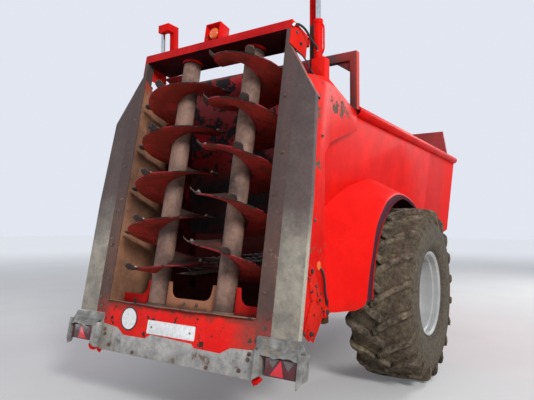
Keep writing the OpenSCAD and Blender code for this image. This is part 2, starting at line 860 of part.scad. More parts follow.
module speed_disc() {
  color("white") in_rear_plane() translate([-501, 0, -129]) rotate([90, 0, 0])
    cylinder(h = 3, d = disc_d);
}

lamp_x = 930;
lamp_top = -235;

module light_brackets() {
  color("lightslategray") in_rear_plane() both_sides() difference() {
    along(-bracket_out, bracket_out + 40)
      polygon([[apron_half, post_foot_s], [bracket_half - 80, post_foot_s],
        [bracket_half, post_foot_s - 70], [bracket_half, -apron_drop],
        [apron_half, -apron_drop]]);
    block([lamp_x - 8, -bracket_out - 1, -apron_drop - 1],
      [lamp_x + lamp_len + 8, -5, lamp_top + 45]);
    block([apron_half + 6, sheet_t, -apron_drop - 1], [bracket_half - 6, 41, post_foot_s - 76]);
  }
}

module tail_lamps() {
  color("red") in_rear_plane() both_sides()
    block([lamp_x, -35, lamp_top - lamp_h], [lamp_x + lamp_len, -5, lamp_top]);
}

beacon_x = -22;

module beacon_box() {
  color("red") in_rear_plane() difference() {
    block([beacon_x - beacon_w / 2, 10, frame_h], [beacon_x + beacon_w / 2, 150, frame_h + beacon_h]);
    block([beacon_x - beacon_w / 2 + 8, 9, frame_h + 8],
      [beacon_x + beacon_w / 2 - 8, 60, frame_h + beacon_h - 8]);
  }
}

module beacon_lens() {
  color("orange") in_rear_plane() translate([beacon_x, 60, frame_h + beacon_h / 2])
    rotate([90, 0, 0]) cylinder(h = 42, d = beacon_lens_d);
}

// Door and its cylinders

module cylinders() {
  color("red") at_sill() both_sides() translate([barrel_x, barrel_y, barrel_top_z - barrel_len])
    difference() {
      cylinder(h = barrel_len, d = barrel_d);
      translate([0, 0, barrel_floor]) cylinder(h = barrel_len, d = rod_d + 2 * rod_gap);
    }
}

module rods() {
  rod_low = barrel_top_z - barrel_len + 350;
  color("silver") at_sill() both_sides() translate([barrel_x, barrel_y, rod_low])
    cylinder(h = arm_top_z - hook_h - rod_low, d = rod_d);
}

module door_panel() {
  header_half = arm_x + arm_tube;
  header_d = 40;
  color("red") at_sill() {
    block([-door_w / 2, door_y, door_low_z], [door_w / 2, door_y + plate_t, door_high_z]);
    block([-header_half, door_y + plate_t, door_high_z - cheek_h],
      [header_half, door_y + plate_t + header_d, door_high_z]);
    block([-door_w / 2, door_y + plate_t, door_low_z],
      [door_w / 2, door_y + plate_t + header_d, door_low_z + 60]);
    both_sides() block([door_w / 2, door_y, door_high_z - cheek_h],
      [header_half, door_y + plate_t, door_high_z]);
  }
}

module door_arms() {
  color("red") at_sill() both_sides() {
    block([arm_x, arm_y, arm_foot_z], [arm_x + arm_tube, arm_y + arm_tube, arm_top_z]);
    block([arm_x, arm_y + arm_tube, door_high_z - cheek_h], [arm_x + arm_tube, door_y, door_high_z]);
    block([arm_x, barrel_y - 40, arm_top_z - hook_h], [arm_x + arm_tube, arm_y, arm_top_z]);
    block([arm_x + arm_tube, barrel_y - 40, arm_top_z - hook_h],
      [barrel_x + 35, barrel_y + 30, arm_top_z]);
  }
}

// Beaters

module beater_shaft() {
  tube_len = beater_top_s - seat_top_s - 1;
  color("tan") in_rear_plane() translate([beater_x, beater_off, 0]) {
    translate([0, 0, seat_top_s + 1]) difference() {
      cylinder(h = tube_len, d = beater_tube_d);
      translate([0, 0, -1])
        cylinder(h = tube_len - beater_tube_t, d = beater_tube_d - 2 * beater_tube_t);
    }
    translate([0, 0, 1]) cylinder(h = beater_top_s + collar_h - 8, d = stub_d);
  }
}
module beater_shaft_right() beater_shaft();
module beater_shaft_left() mirror([1, 0, 0]) beater_shaft();

// One flight: four points at each step, closed into a solid screw
module flight(hand, start_angle) {
  steps = floor(flight_steps * flight_turns);
  inner = beater_tube_d / 2 + 0.6;
  outer = flight_d / 2;
  points = [
    for (i = [0 : steps])
      let (
        a = start_angle + hand * i * 360 / flight_steps,
        s = flight_low_s + i * flight_pitch / flight_steps
      )
      each [
        [inner * cos(a), inner * sin(a), s],
        [outer * cos(a), outer * sin(a), s],
        [outer * cos(a), outer * sin(a), s + flight_t],
        [inner * cos(a), inner * sin(a), s + flight_t]
      ]
  ];
  sides = [
    for (i = [0 : steps - 1])
      for (k = [0 : 3])
        let (a = 4 * i + k, b = 4 * i + (k + 1) % 4, c = b + 4, d = a + 4)
        each (hand > 0 ? [[a, b, c], [a, c, d]] : [[a, c, b], [a, d, c]])
  ];
  last = 4 * steps;
  ends = hand > 0
    ? [[0, 3, 2, 1], [last, last + 1, last + 2, last + 3]]
    : [[0, 1, 2, 3], [last, last + 3, last + 2, last + 1]];
  polyhedron(points = points, faces = concat(sides, ends), convexity = 10);
}

// The knives of one flight: plates that stand out past its edge at given angles on each turn
module knives(hand, start_angle, angles) {
  slope = atan(flight_pitch / (PI * flight_d));
  foot = flight_d / 2 - knife_seat;
  for (turn = [0 : floor(flight_turns)])
    for (angle = angles) {
      swept = (((angle - start_angle) * hand) % 360 + 360) % 360 + 360 * turn;
      if (swept < 360 * flight_turns - 15)
        rotate([0, 0, angle]) translate([foot, 0, flight_low_s + swept / 360 * flight_pitch])
          rotate([hand * slope, 0, 0]) translate([0, -knife_w / 2, knife_w / 2 * sin(slope)])
            cube([knife_d / 2 - foot, knife_w, flight_t]);
    }
}

module beater_flight_right() {
  color("firebrick") in_rear_plane() translate([beater_x, beater_off, 0]) {
    flight(-1, 90);
    knives(-1, 90, [-135, -60, 25]);
  }
}
module beater_flight_left() {
  color("firebrick") in_rear_plane() translate([-beater_x, beater_off, 0]) {
    flight(1, -90);
    knives(1, -90, [-90, -155, 30]);
  }
}

// Wheels

// Right half of the tyre's section, from the bead to the crown: distance across and radius
tyre_r = tyre_d / 2;
crown_r = tyre_r - lug_h;
bead_r = (bead_d / 2 + bead_gap) / cos(180 / lug_count);
bead_x = rim_w / 2 - bead_gap;
tyre_outside = [
  [bead_x, bead_r], [bead_x, bead_r + rim_flange], [tyre_w / 2, bead_r + 150],
  [tyre_w / 2 - 4, crown_r - 100], [tyre_w / 2 - 60, crown_r]
];
tyre_inside = [
  [tyre_w / 2 - 130, crown_r - tread_t], [tyre_w / 2 - 8 - side_t, crown_r - 120],
  [bead_x - side_t, bead_r]
];
tyre_loop = concat(tyre_outside, mirrored(tyre_outside), mirrored(tyre_inside), tyre_inside);

function wheel_point(x, r, a) = [x, r * cos(a), r * sin(a)];

// A closed ring round the wheel's axis with a section given as a loop of points
module ring_of(loop, count) {
  n = len(loop);
  points = [for (i = [0 : count - 1]) each [for (p = loop) wheel_point(p[0], p[1], 360 * i / count)]];
  faces = [
    for (i = [0 : count - 1])
      for (k = [0 : n - 1])
        let (a = n * i + k, b = n * i + (k + 1) % n,
          c = n * ((i + 1) % count) + (k + 1) % n, d = n * ((i + 1) % count) + k)
        each [[a, c, b], [a, d, c]]
  ];
  polyhedron(points = points, faces = faces, convexity = 8);
}

// Steps of a lug from the middle to the shoulder: distance across, sweep along the tread,
// depth of its top below the tyre's radius, depth of its root below the crown
lug_steps = [
  [-40, -30, 0, 24], [tyre_w / 2 - 90, 150, 2, 26], [tyre_w / 2 - 8, 190, 24, 110]
];

module lug(side, start) {
  corners = [
    for (s = lug_steps)
      each [
        for (c = [[0, 0], [0.12, 1], [0.88, 1], [1, 0]])
          wheel_point(side * s[0], c[1] > 0 ? tyre_r - s[2] : crown_r - s[3],
            start + (s[1] + c[0] * lug_w) / tyre_r * 180 / PI)
      ]
  ];
  last = len(lug_steps) - 1;
  around = [
    for (i = [0 : last - 1])
      for (k = [0 : 3])
        let (a = 4 * i + k, b = 4 * i + (k + 1) % 4, c = b + 4, d = a + 4)
        each (side < 0 ? [[a, b, c], [a, c, d]] : [[a, c, b], [a, d, c]])
  ];
  ends = side < 0
    ? [[0, 3, 2], [0, 2, 1], [4 * last, 4 * last + 1, 4 * last + 2],
      [4 * last, 4 * last + 2, 4 * last + 3]]
    : [[0, 2, 3], [0, 1, 2], [4 * last, 4 * last + 2, 4 * last + 1],
      [4 * last, 4 * last + 3, 4 * last + 2]];
  polyhedron(points = corners, faces = concat(around, ends), convexity = 2);
}

// Turns a section drawn as distance across and radius about the wheel's axis
module about_axle(x) {
  at_sill() translate([x, wheel_y, axle_z]) rotate([0, 90, 0]) rotate_extrude($fn = 96)
    mirror([1, -1]) children();
}

module tyre() {
  lug_turn = 360 / lug_count;
  color("dimgray") at_sill() translate([track_half, wheel_y, axle_z]) mirror([0, 1, 0]) {
    ring_of(tyre_loop, lug_count);
    for (i = [0 : lug_count - 1]) {
      lug(1, i * lug_turn);
      lug(-1, (i + 0.5) * lug_turn);
    }
  }
}
module tyre_right() tyre();
module tyre_left() mirror([1, 0, 0]) tyre();

module rim() {
  half = rim_w / 2;
  seat = bead_d / 2;
  disc_x = 40;
  color("silver") about_axle(track_half) {
    polygon([
      [-half - 12, seat + rim_flange], [-half, seat + rim_flange], [-half, seat],
      [half, seat], [half, seat + rim_flange], [half + 12, seat + rim_flange],
      [half + 12, seat - 14], [disc_x + 14, seat - 26], [disc_x + 14, 200],
      [disc_x + 60, 150], [disc_x + 60, spindle_d / 2 + run_gap],
      [disc_x + 60 - hub_len, spindle_d / 2 + run_gap], [disc_x + 60 - hub_len, 140],
      [disc_x, 150], [disc_x, seat - 30], [-half - 12, seat - 14]
    ]);
  }
}
module rim_right() rim();
module rim_left() mirror([1, 0, 0]) rim();

chassis_frame();
axle();
drawbar();
hitch_eye();
jack_sleeve();
jack_leg();
front_gearbox();
driveline();
rear_gearcase();
input_shaft();
floor();
conveyor();
conveyor_shaft();
side_wall_left();
side_wall_right();
fender_left();
fender_right();
rails();
hoop();
front_wall();
headboard();
rear_plate_left();
rear_plate_right();
chamber_walls();
posts();
wings();
top_beam();
deck();
guard();
apron();
bumper();
number_plate();
speed_disc();
light_brackets();
tail_lamps();
beacon_box();
beacon_lens();
cylinders();
rods();
door_panel();
door_arms();
beater_shaft_left();
beater_shaft_right();
beater_flight_left();
beater_flight_right();
tyre_left();
tyre_right();
rim_left();
rim_right();
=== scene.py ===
"""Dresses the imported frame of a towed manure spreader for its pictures."""

from __future__ import annotations

import json
import logging
import math
from collections.abc import Callable, Iterable
from dataclasses import dataclass, field
from enum import Enum

import bmesh
import bpy
from mathutils import Matrix, Vector, noise

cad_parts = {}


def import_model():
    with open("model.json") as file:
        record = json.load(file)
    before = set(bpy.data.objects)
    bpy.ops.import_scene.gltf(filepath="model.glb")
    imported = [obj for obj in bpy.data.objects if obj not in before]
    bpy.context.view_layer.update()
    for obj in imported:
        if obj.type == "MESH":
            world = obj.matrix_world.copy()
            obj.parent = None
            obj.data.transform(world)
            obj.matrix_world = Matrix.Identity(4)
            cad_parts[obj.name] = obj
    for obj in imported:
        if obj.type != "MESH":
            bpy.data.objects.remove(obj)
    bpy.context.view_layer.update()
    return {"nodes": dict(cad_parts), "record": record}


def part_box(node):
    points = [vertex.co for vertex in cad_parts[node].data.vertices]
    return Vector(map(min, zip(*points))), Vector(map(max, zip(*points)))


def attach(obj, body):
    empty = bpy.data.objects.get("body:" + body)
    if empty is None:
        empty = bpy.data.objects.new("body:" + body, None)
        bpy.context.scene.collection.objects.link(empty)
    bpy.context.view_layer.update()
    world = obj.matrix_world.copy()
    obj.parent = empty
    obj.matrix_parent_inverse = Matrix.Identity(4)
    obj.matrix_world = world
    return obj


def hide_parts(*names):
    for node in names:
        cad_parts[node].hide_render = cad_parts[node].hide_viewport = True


log = logging.getLogger("spreader")

NOISE_SEED = 7
Colour = tuple[float, float, float]
Point = tuple[float, float, float]
Pair = tuple[float, float]
Curve = tuple[Pair, ...]
Thing = bpy.types.Object
Parts = list[Thing]
Material = bpy.types.Material
Tree = bpy.types.NodeTree
Node = bpy.types.Node
Socket = bpy.types.NodeSocket


def tint(red: int, green: int, blue: int) -> Colour:
    """Turns a colour as a screen shows it into scene values.

    Args:
        red: Red from 0 to 255.
        green: Green from 0 to 255.
        blue: Blue from 0 to 255.

    Returns:
        The three linear values from 0 to 1.
    """

    def one(value: int) -> float:
        """Turns one channel."""
        share = value / 255
        return share / 12.92 if share <= 0.04045 else ((share + 0.055) / 1.055) ** 2.4

    return one(red), one(green), one(blue)


@dataclass(frozen=True)
class Layout:
    """Where the machine's main lines lie in the frame, in metres and radians."""

    sill_y: float
    axle: Vector
    sill_h: float = 0.9
    lean: float = math.radians(10.6)
    beater_x: float = 0.369
    beater_off: float = 0.18

    @classmethod
    def read(cls) -> Layout:
        """Reads the lines from the frame: the chassis starts a known way ahead of the sill.

        Returns:
            The lines.
        """
        chassis_back = 0.7
        low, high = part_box("rim_right")
        return cls(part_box("chassis_frame")[0].y - chassis_back, (low + high) / 2)

    def rear(self, x: float, off: float, s: float) -> Vector:
        """Gives a point of the leaning rear plane.

        Args:
            x: Place across.
            off: Distance forward of the plane.
            s: Distance up the plane from the sill.

        Returns:
            The point in the frame.
        """
        c, n = math.cos(self.lean), math.sin(self.lean)
        return Vector((x, self.sill_y + off * c + s * n, self.sill_h + s * c - off * n))

    def away(self, distance: float = 1) -> Vector:
        """Gives a step off the rear plane, towards the rear."""
        return self.rear(0, -distance, 0) - self.rear(0, 0, 0)

    def rear_frame(self, x: float = 0, off: float = 0) -> Matrix:
        """Gives the move that puts a piece made upright at zero into the leaning plane."""
        lift = Matrix.Translation((0, self.sill_y, self.sill_h))
        return lift @ Matrix.Rotation(-self.lean, 4, "X") @ Matrix.Translation((x, off, 0))

    def sill(self, x: float, y: float, z: float) -> Vector:
        """Gives a point whose distance forward is measured from the sill."""
        return Vector((x, self.sill_y + y, z))


class Along(Enum):
    """The direction in which a zone of a finish runs."""

    X = "across"
    Y = "forward from the sill"
    Z = "up"
    PLANE = "up the leaning plane"
    WHEEL = "out from the wheel's axis"
    FACE_UP = "by how far a face looks up"
    MIDDLE = "out from the machine's middle to both sides"
    FACE_OUT = "by how far a face looks to the right"
    FACE_SIDE = "by how far a face looks away from the machine's middle"
    FACE_BACK = "by how far a face looks to the front, -1 to the back"


@dataclass
class Web:
    """A node tree with short calls for the nodes that the finishes use."""

    tree: Tree

    def node(self, kind: str, **values: object) -> Node:
        """Adds a node and sets its plain properties.

        Args:
            kind: The node's type name.
            values: Properties of the node by name.

        Returns:
            The new node.
        """
        made = self.tree.nodes.new(kind)
        for name, value in values.items():
            setattr(made, name, value)
        return made

    def feed(self, socket: Socket, value: object) -> None:
        """Links an output to a socket, or sets the socket's own value.

        Args:
            socket: The input.
            value: An output, a number, a colour or nothing.
        """
        if value is None:
            return
        if isinstance(value, Socket):
            self.tree.links.new(value, socket)
        elif isinstance(value, tuple) and socket.type == "RGBA":
            socket.default_value = (*value[:3], 1.0)
        else:
            socket.default_value = value

    def place(self) -> Socket:
        """Gives the place on the piece in metres."""
        return self.node("ShaderNodeTexCoord").outputs["Object"]

    def stretch(self, scale: Point, move: Point = (0, 0, 0)) -> Socket:
        """Gives the place on the piece, stretched and moved.

        Args:
            scale: Factor along each axis.
            move: Move along each axis, after the scale.

        Returns:
            The changed place.
        """
        made = self.node("ShaderNodeMapping")
        self.feed(made.inputs["Vector"], self.place())
        made.inputs["Scale"].default_value = scale
        made.inputs["Location"].default_value = move
        return made.outputs["Vector"]

    def noise(
        self, scale: object, detail: float = 4, rough: float = 0.55, where: Socket | None = None
    ) -> Socket:
        """Adds a cloud pattern.

        Args:
            scale: Grains per metre.
            detail: Number of finer layers.
            rough: Strength of the finer layers.
            where: Place to read, or the piece's own.

        Returns:
            The pattern's value.
        """
        made = self.node("ShaderNodeTexNoise")
        self.feed(made.inputs["Vector"], where or self.place())
        self.feed(made.inputs["Scale"], scale)
        made.inputs["Detail"].default_value = detail
        made.inputs["Roughness"].default_value = rough
        return made.outputs["Fac"]

    def maths(self, work: str, *values: object, clamp: bool = True) -> Socket:
        """Adds one step of arithmetic, kept between 0 and 1 if clamped.

        Args:
            work: The operation.
            values: Its inputs in order.
            clamp: Whether the result is kept in.

        Returns:
            The result.
        """
        made = self.node("ShaderNodeMath", operation=work, use_clamp=clamp)
        for socket, value in zip(made.inputs, values):
            self.feed(socket, value)
        return made.outputs[0]

    def vectors(self, work: str, *values: object) -> Socket:
        """Adds one step of vector arithmetic that gives a number.

        Args:
            work: The operation.
            values: Its inputs in order.

        Returns:
            The result.
        """
        made = self.node("ShaderNodeVectorMath", operation=work)
        for socket, value in zip(made.inputs, values):
            self.feed(socket, value)
        return made.outputs["Value"]

    def part(self, vector: Socket, axis: str) -> Socket:
        """Gives one part of a vector: X, Y or Z.

        Args:
            vector: The vector.
            axis: The name of its part.

        Returns:
            The number.
        """
        made = self.node("ShaderNodeSeparateXYZ")
        self.feed(made.inputs[0], vector)
        return made.outputs[axis]

    def normal(self) -> Socket:
        """Gives the surface's own normal."""
        return self.node("ShaderNodeNewGeometry").outputs["Normal"]

    def backdrop(self) -> Socket:
        """Gives 1 to the rays that see the background, in view, in gloss or through glass.

        Returns:
            1 for those rays, 0 for the others.
        """
        rays = self.node("ShaderNodeLightPath").outputs
        seen = self.maths("MAXIMUM", rays["Is Camera Ray"], rays["Is Glossy Ray"])
        return self.maths("MAXIMUM", seen, rays["Is Transmission Ray"])

    def span(
        self, value: object, low: object, high: object, out: Pair = (0, 1)
    ) -> Socket:
        """Turns a value from low to high into a smooth step.

        Args:
            value: The value to read.
            low: Where the step starts.
            high: Where the step ends.
            out: What it gives at its start and end.

        Returns:
            The stepped value.
        """
        made = self.node("ShaderNodeMapRange", interpolation_type="SMOOTHSTEP")
        if not isinstance(low, Socket) and low > high:
            low, high, out = high, low, out[::-1]
        for socket, given in zip(made.inputs, (value, low, high, *out)):
            self.feed(socket, given)
        return made.outputs["Result"]

    def mix(self, share: object, a: object, b: object) -> Socket:
        """Mixes two colours.

        Args:
            share: Part of the second colour.
            a: The first colour.
            b: The second colour.

        Returns:
            The mixed colour.
        """
        made = self.node("ShaderNodeMix", data_type="RGBA")
        self.feed(made.inputs["Factor"], share)
        self.feed(made.inputs[6], a)
        self.feed(made.inputs[7], b)
        return made.outputs[2]

    def measure(self, way: Along, layout: Layout) -> Socket:
        """Gives the place on the piece along one direction.

        Args:
            way: The direction.
            layout: Where the machine's lines lie.

        Returns:
            The distance in metres, or how far a face looks that way.
        """
        facing = {Along.FACE_UP: "Z", Along.FACE_BACK: "Y", Along.FACE_OUT: "X"}
        if way in facing:
            return self.part(self.normal(), facing[way])
        if way is Along.MIDDLE:
            return self.maths("ABSOLUTE", self.part(self.place(), "X"), clamp=False)
        if way is Along.FACE_SIDE:
            sign = self.maths("SIGN", self.part(self.place(), "X"), clamp=False)
            return self.maths("MULTIPLY", self.part(self.normal(), "X"), sign, clamp=False)
        if way is Along.WHEEL:
            hub = (0, -layout.axle.y, -layout.axle.z)
            return self.vectors("LENGTH", self.stretch((0, 1, 1), hub))
        up = (0, math.sin(layout.lean), math.cos(layout.lean))
        line = {
            Along.X: (1, 0, 0), Along.Y: (0, 1, 0), Along.Z: (0, 0, 1), Along.PLANE: up,
        }[way]
        start = (0, -layout.sill_y, -layout.sill_h if way is Along.PLANE else 0)
        return self.vectors("DOT_PRODUCT", self.stretch((1, 1, 1), start), line)

    def group(self, effect: Tree, **values: object) -> Node:
        """Places an effect and sets or links its inputs by name.

        Args:
            effect: The effect's group.
            values: Inputs by name.

        Returns:
            The placed node.
        """
        made = self.node("ShaderNodeGroup", node_tree=effect)
        for name, value in values.items():
            self.feed(made.inputs[name.replace("_", " ").capitalize()], value)
        return made


@dataclass
class Effects:
    """The effects that several finishes share, each a node group."""

    edges: Tree = field(init=False)
    patches: Tree = field(init=False)
    grain: Tree = field(init=False)
    streaks: Tree = field(init=False)

    def __post_init__(self) -> None:
        """Builds the groups."""
        self.edges = self._edges()
        self.patches = self._patches()
        self.grain = self._grain()
        self.streaks = self._streaks()

    @staticmethod
    def _start(
        name: str, inputs: dict[str, float], outputs: dict[str, str]
    ) -> tuple[Tree, Web, Node, Node]:
        """Starts a group with its sockets.

        Args:
            name: The group's name.
            inputs: Number inputs and their usual values.
            outputs: Outputs and their socket kinds.

        Returns:
            The group, its web, its input node and its output node.
        """
        tree = bpy.data.node_groups.new(name, "ShaderNodeTree")
        for label, value in inputs.items():
            made = tree.interface.new_socket(label, in_out="INPUT", socket_type="NodeSocketFloat")
            made.default_value = value
        for label, kind in outputs.items():
            tree.interface.new_socket(label, in_out="OUTPUT", socket_type=kind)
        web = Web(tree)
        return tree, web, web.node("NodeGroupInput"), web.node("NodeGroupOutput")

    def _edges(self) -> Tree:
        """Finds worn edges, which carry a painted highlight where a finish's bare colour is pale:
        where a rounded normal leaves the flat one.

        Returns:
            The group.
        """
        tree, web, given, out = self._start(
            "worn_or_highlit_edges",
            {"Radius": 0.006, "Amount": 0.5, "Scale": 25.0},
            {"Mask": "NodeSocketFloat"},
        )
        bevel = web.node("ShaderNodeBevel", samples=4)
        web.feed(bevel.inputs["Radius"], given.outputs["Radius"])
        turn = web.vectors("DOT_PRODUCT", bevel.outputs["Normal"], web.normal())
        broken = web.span(web.noise(given.outputs["Scale"], 6, 0.5), 0.42, 0.6)
        torn = web.maths("MULTIPLY", web.span(turn, 0.99, 0.75), broken)
        web.feed(out.inputs["Mask"], web.maths("MULTIPLY", torn, given.outputs["Amount"]))
        return tree

    def _patches(self) -> Tree:
        """Makes broken patches where paint has gone: large clouds cut by fine ones.

        Returns:
            The group.
        """
        tree, web, given, out = self._start(
            "worn_patches",
            {"Scale": 6.0, "Share": 0.3, "Soft": 0.03},
            {"Mask": "NodeSocketFloat"},
        )
        broad = web.noise(given.outputs["Scale"], 9, 0.68)
        reach = web.maths("MULTIPLY", given.outputs["Share"], 0.56, clamp=False)
        bar = web.maths("SUBTRACT", 0.78, reach, clamp=False)
        top = web.maths("ADD", bar, given.outputs["Soft"], clamp=False)
        web.feed(out.inputs["Mask"], web.span(broad, bar, top))
        return tree

    def _grain(self) -> Tree:
        """Makes the fine height and gloss changes of a surface.

        Returns:
            The group.
        """
        tree, web, given, out = self._start(
            "grain",
            {"Scale": 60.0, "Height": 0.4, "Rough": 0.5, "Spread": 0.12, "Dents": 0.0},
            {"Normal": "NodeSocketVector", "Roughness": "NodeSocketFloat"},
        )
        bump = None
        for strength, distance, height in (
            ("Height", 0.002, web.noise(given.outputs["Scale"], 6, 0.5)),
            ("Dents", 0.02, web.noise(3.5, 2, 0.5)),
        ):
            raised = web.node("ShaderNodeBump")
            raised.inputs["Distance"].default_value = distance
            web.feed(raised.inputs["Strength"], given.outputs[strength])
            web.feed(raised.inputs["Height"], height)
            web.feed(raised.inputs["Normal"], bump)
            bump = raised.outputs["Normal"]
        swing = web.maths(
            "MULTIPLY_ADD", web.noise(5, 5, 0.6), given.outputs["Spread"],
            given.outputs["Rough"], clamp=False,
        )
        web.feed(out.inputs["Normal"], bump)
        web.feed(out.inputs["Roughness"], swing)
        return tree

    def _streaks(self) -> Tree:
        """Makes thin dirt that has run down the surface.

        Returns:
            The group.
        """
        tree, web, given, out = self._start(
            "run_down_dirt", {"Amount": 0.3}, {"Mask": "NodeSocketFloat"}
        )
        thin = web.noise(1, 5, 0.6, web.stretch((26, 26, 2.2)))
        wide = web.noise(2.2, 3)
        lines = web.maths("MULTIPLY", web.span(thin, 0.5, 0.72), web.span(wide, 0.45, 0.65))
        web.feed(out.inputs["Mask"], web.maths("MULTIPLY", lines, given.outputs["Amount"]))
        return tree


@dataclass(frozen=True)
class Zone:
    """A change of colour along one direction, with a ragged border."""

    along: Along
    start: float
    end: float
    colour: Colour
    share: float = 1.0
    ragged: float = 0.2
    scale: float = 4.0

    def mask(self, web: Web, layout: Layout) -> Socket:
        """Builds the zone's mask.

        Args:
            web: The material's node web.
            layout: Where the machine's lines lie.

        Returns:
            The share of the zone's colour over the surface.
        """
        swing = web.maths("SUBTRACT", web.noise(self.scale, 7, 0.62), 0.5, clamp=False)
        place = web.measure(self.along, layout)
        shifted = web.maths("MULTIPLY_ADD", swing, 4 * self.ragged, place, clamp=False)
        return web.span(shifted, self.start, self.end, (0, self.share))


@dataclass(frozen=True)
class Finish:
    """One finish: paint, steel, rubber or plastic, with its own wear and dirt, and on some finishes
    painted light and shade in its zones, edges and glow.
    """

    base: Colour
    shade: Colour
    # Colour of worn patches and edges; where it is pale, as on the fender, the edges carry a
    # painted highlight.
    bare_or_highlight: Colour = (0.06, 0.045, 0.035)
    gloss: float = 0.45
    metal: float = 0.0
    bare_metal: float = 0.0
    worn: float = 0.2
    worn_scale: float = 7.0
    worn_soft: float = 0.03
    edge: float = 0.6
    edge_radius: float = 0.006
    streaks: float = 0.25
    streak: Colour = (0.10, 0.07, 0.05)
    grain_scale: float = 70.0
    grain_height: float = 0.35
    dents: float = 0.0
    cloud_scale: float = 3.0
    zones: tuple[Zone, ...] = ()
    coat: float = 0.0
    # A glow paints light onto a part that is no lamp, as an emission of its own colour.
    glow: float = 0.0
    shine: float = 0.4
    speck: float = 0.22

    def build(self, name: str, effects: Effects, layout: Layout) -> Material:
        """Makes the material.

        Args:
            name: The material's name.
            effects: The shared node groups.
            layout: Where the machine's lines lie.

        Returns:
            The material.
        """
        made = bpy.data.materials.new(name)
        made.use_nodes = True
        web = Web(made.node_tree)
        shader = made.node_tree.nodes["Principled BSDF"]
        clouds = web.noise(self.cloud_scale, 6, 0.6)
        colour = web.mix(web.span(clouds, 0.35, 0.65), self.base, self.shade)
        wear = web.group(
            effects.patches, scale=self.worn_scale, share=self.worn, soft=self.worn_soft
        ).outputs["Mask"]
        # Edges and patches take the bare colour: wear, and a painted highlight on the edges where
        # that colour is pale.
        edge = web.group(effects.edges, radius=self.edge_radius, amount=self.edge).outputs["Mask"]
        gone = web.maths("MAXIMUM", wear, edge)
        colour = web.mix(gone, colour, self.bare_or_highlight)
        dull = gone
        # Zones paint real stains and mud, and on some finishes painted shade and light chosen by
        # where a face looks.
        for zone in self.zones:
            mask = zone.mask(web, layout)
            colour = web.mix(mask, colour, zone.colour)
            dull = web.maths("MAXIMUM", dull, mask)
        if self.streaks:
            runs = web.group(effects.streaks, amount=self.streaks).outputs["Mask"]
            colour = web.mix(runs, colour, self.streak)
        fine = web.noise(38, 5, 0.7)
        colour = web.mix(web.span(fine, 0.3, 0.7, (self.speck, 0)), colour, (0.0, 0.0, 0.0))
        grain = web.group(
            effects.grain, scale=self.grain_scale, height=self.grain_height, rough=self.gloss,
            dents=self.dents,
        )
        web.feed(shader.inputs["Base Color"], colour)
        duller = web.maths("MULTIPLY", dull, 0.3, clamp=False)
        rough = web.maths("ADD", grain.outputs["Roughness"], duller)
        web.feed(shader.inputs["Roughness"], rough)
        web.feed(shader.inputs["Normal"], grain.outputs["Normal"])
        shader.inputs["Specular IOR Level"].default_value = self.shine
        if self.coat:
            shader.inputs["Coat Weight"].default_value = self.coat
            shader.inputs["Coat Roughness"].default_value = 0.12
        if self.glow:
            web.feed(shader.inputs["Emission Color"], self.base)
            shader.inputs["Emission Strength"].default_value = self.glow
        if self.metal or self.bare_metal:
            shine = web.node("ShaderNodeMix", data_type="FLOAT")
            web.feed(shine.inputs[0], dull)
            shine.inputs[2].default_value = self.metal
            shine.inputs[3].default_value = self.bare_metal
            web.feed(shader.inputs["Metallic"], shine.outputs[0])
        return made


RED = tint(232, 26, 20)
RED_DEEP = tint(206, 20, 18)
MUD = tint(112, 92, 70)
BROWN = tint(92, 74, 66)
BROWN_DARK = tint(60, 48, 44)
BLACK = tint(22, 18, 19)
# Painted shade for faces inside the hopper.
PAINTED_INSIDE_SHADE = tint(46, 24, 24)

PAINT_WEAR = {
    "gloss": 0.36, "grain_height": 0.04, "grain_scale": 40, "dents": 0.07, "shine": 0.03,
    "speck": 0.07,
}

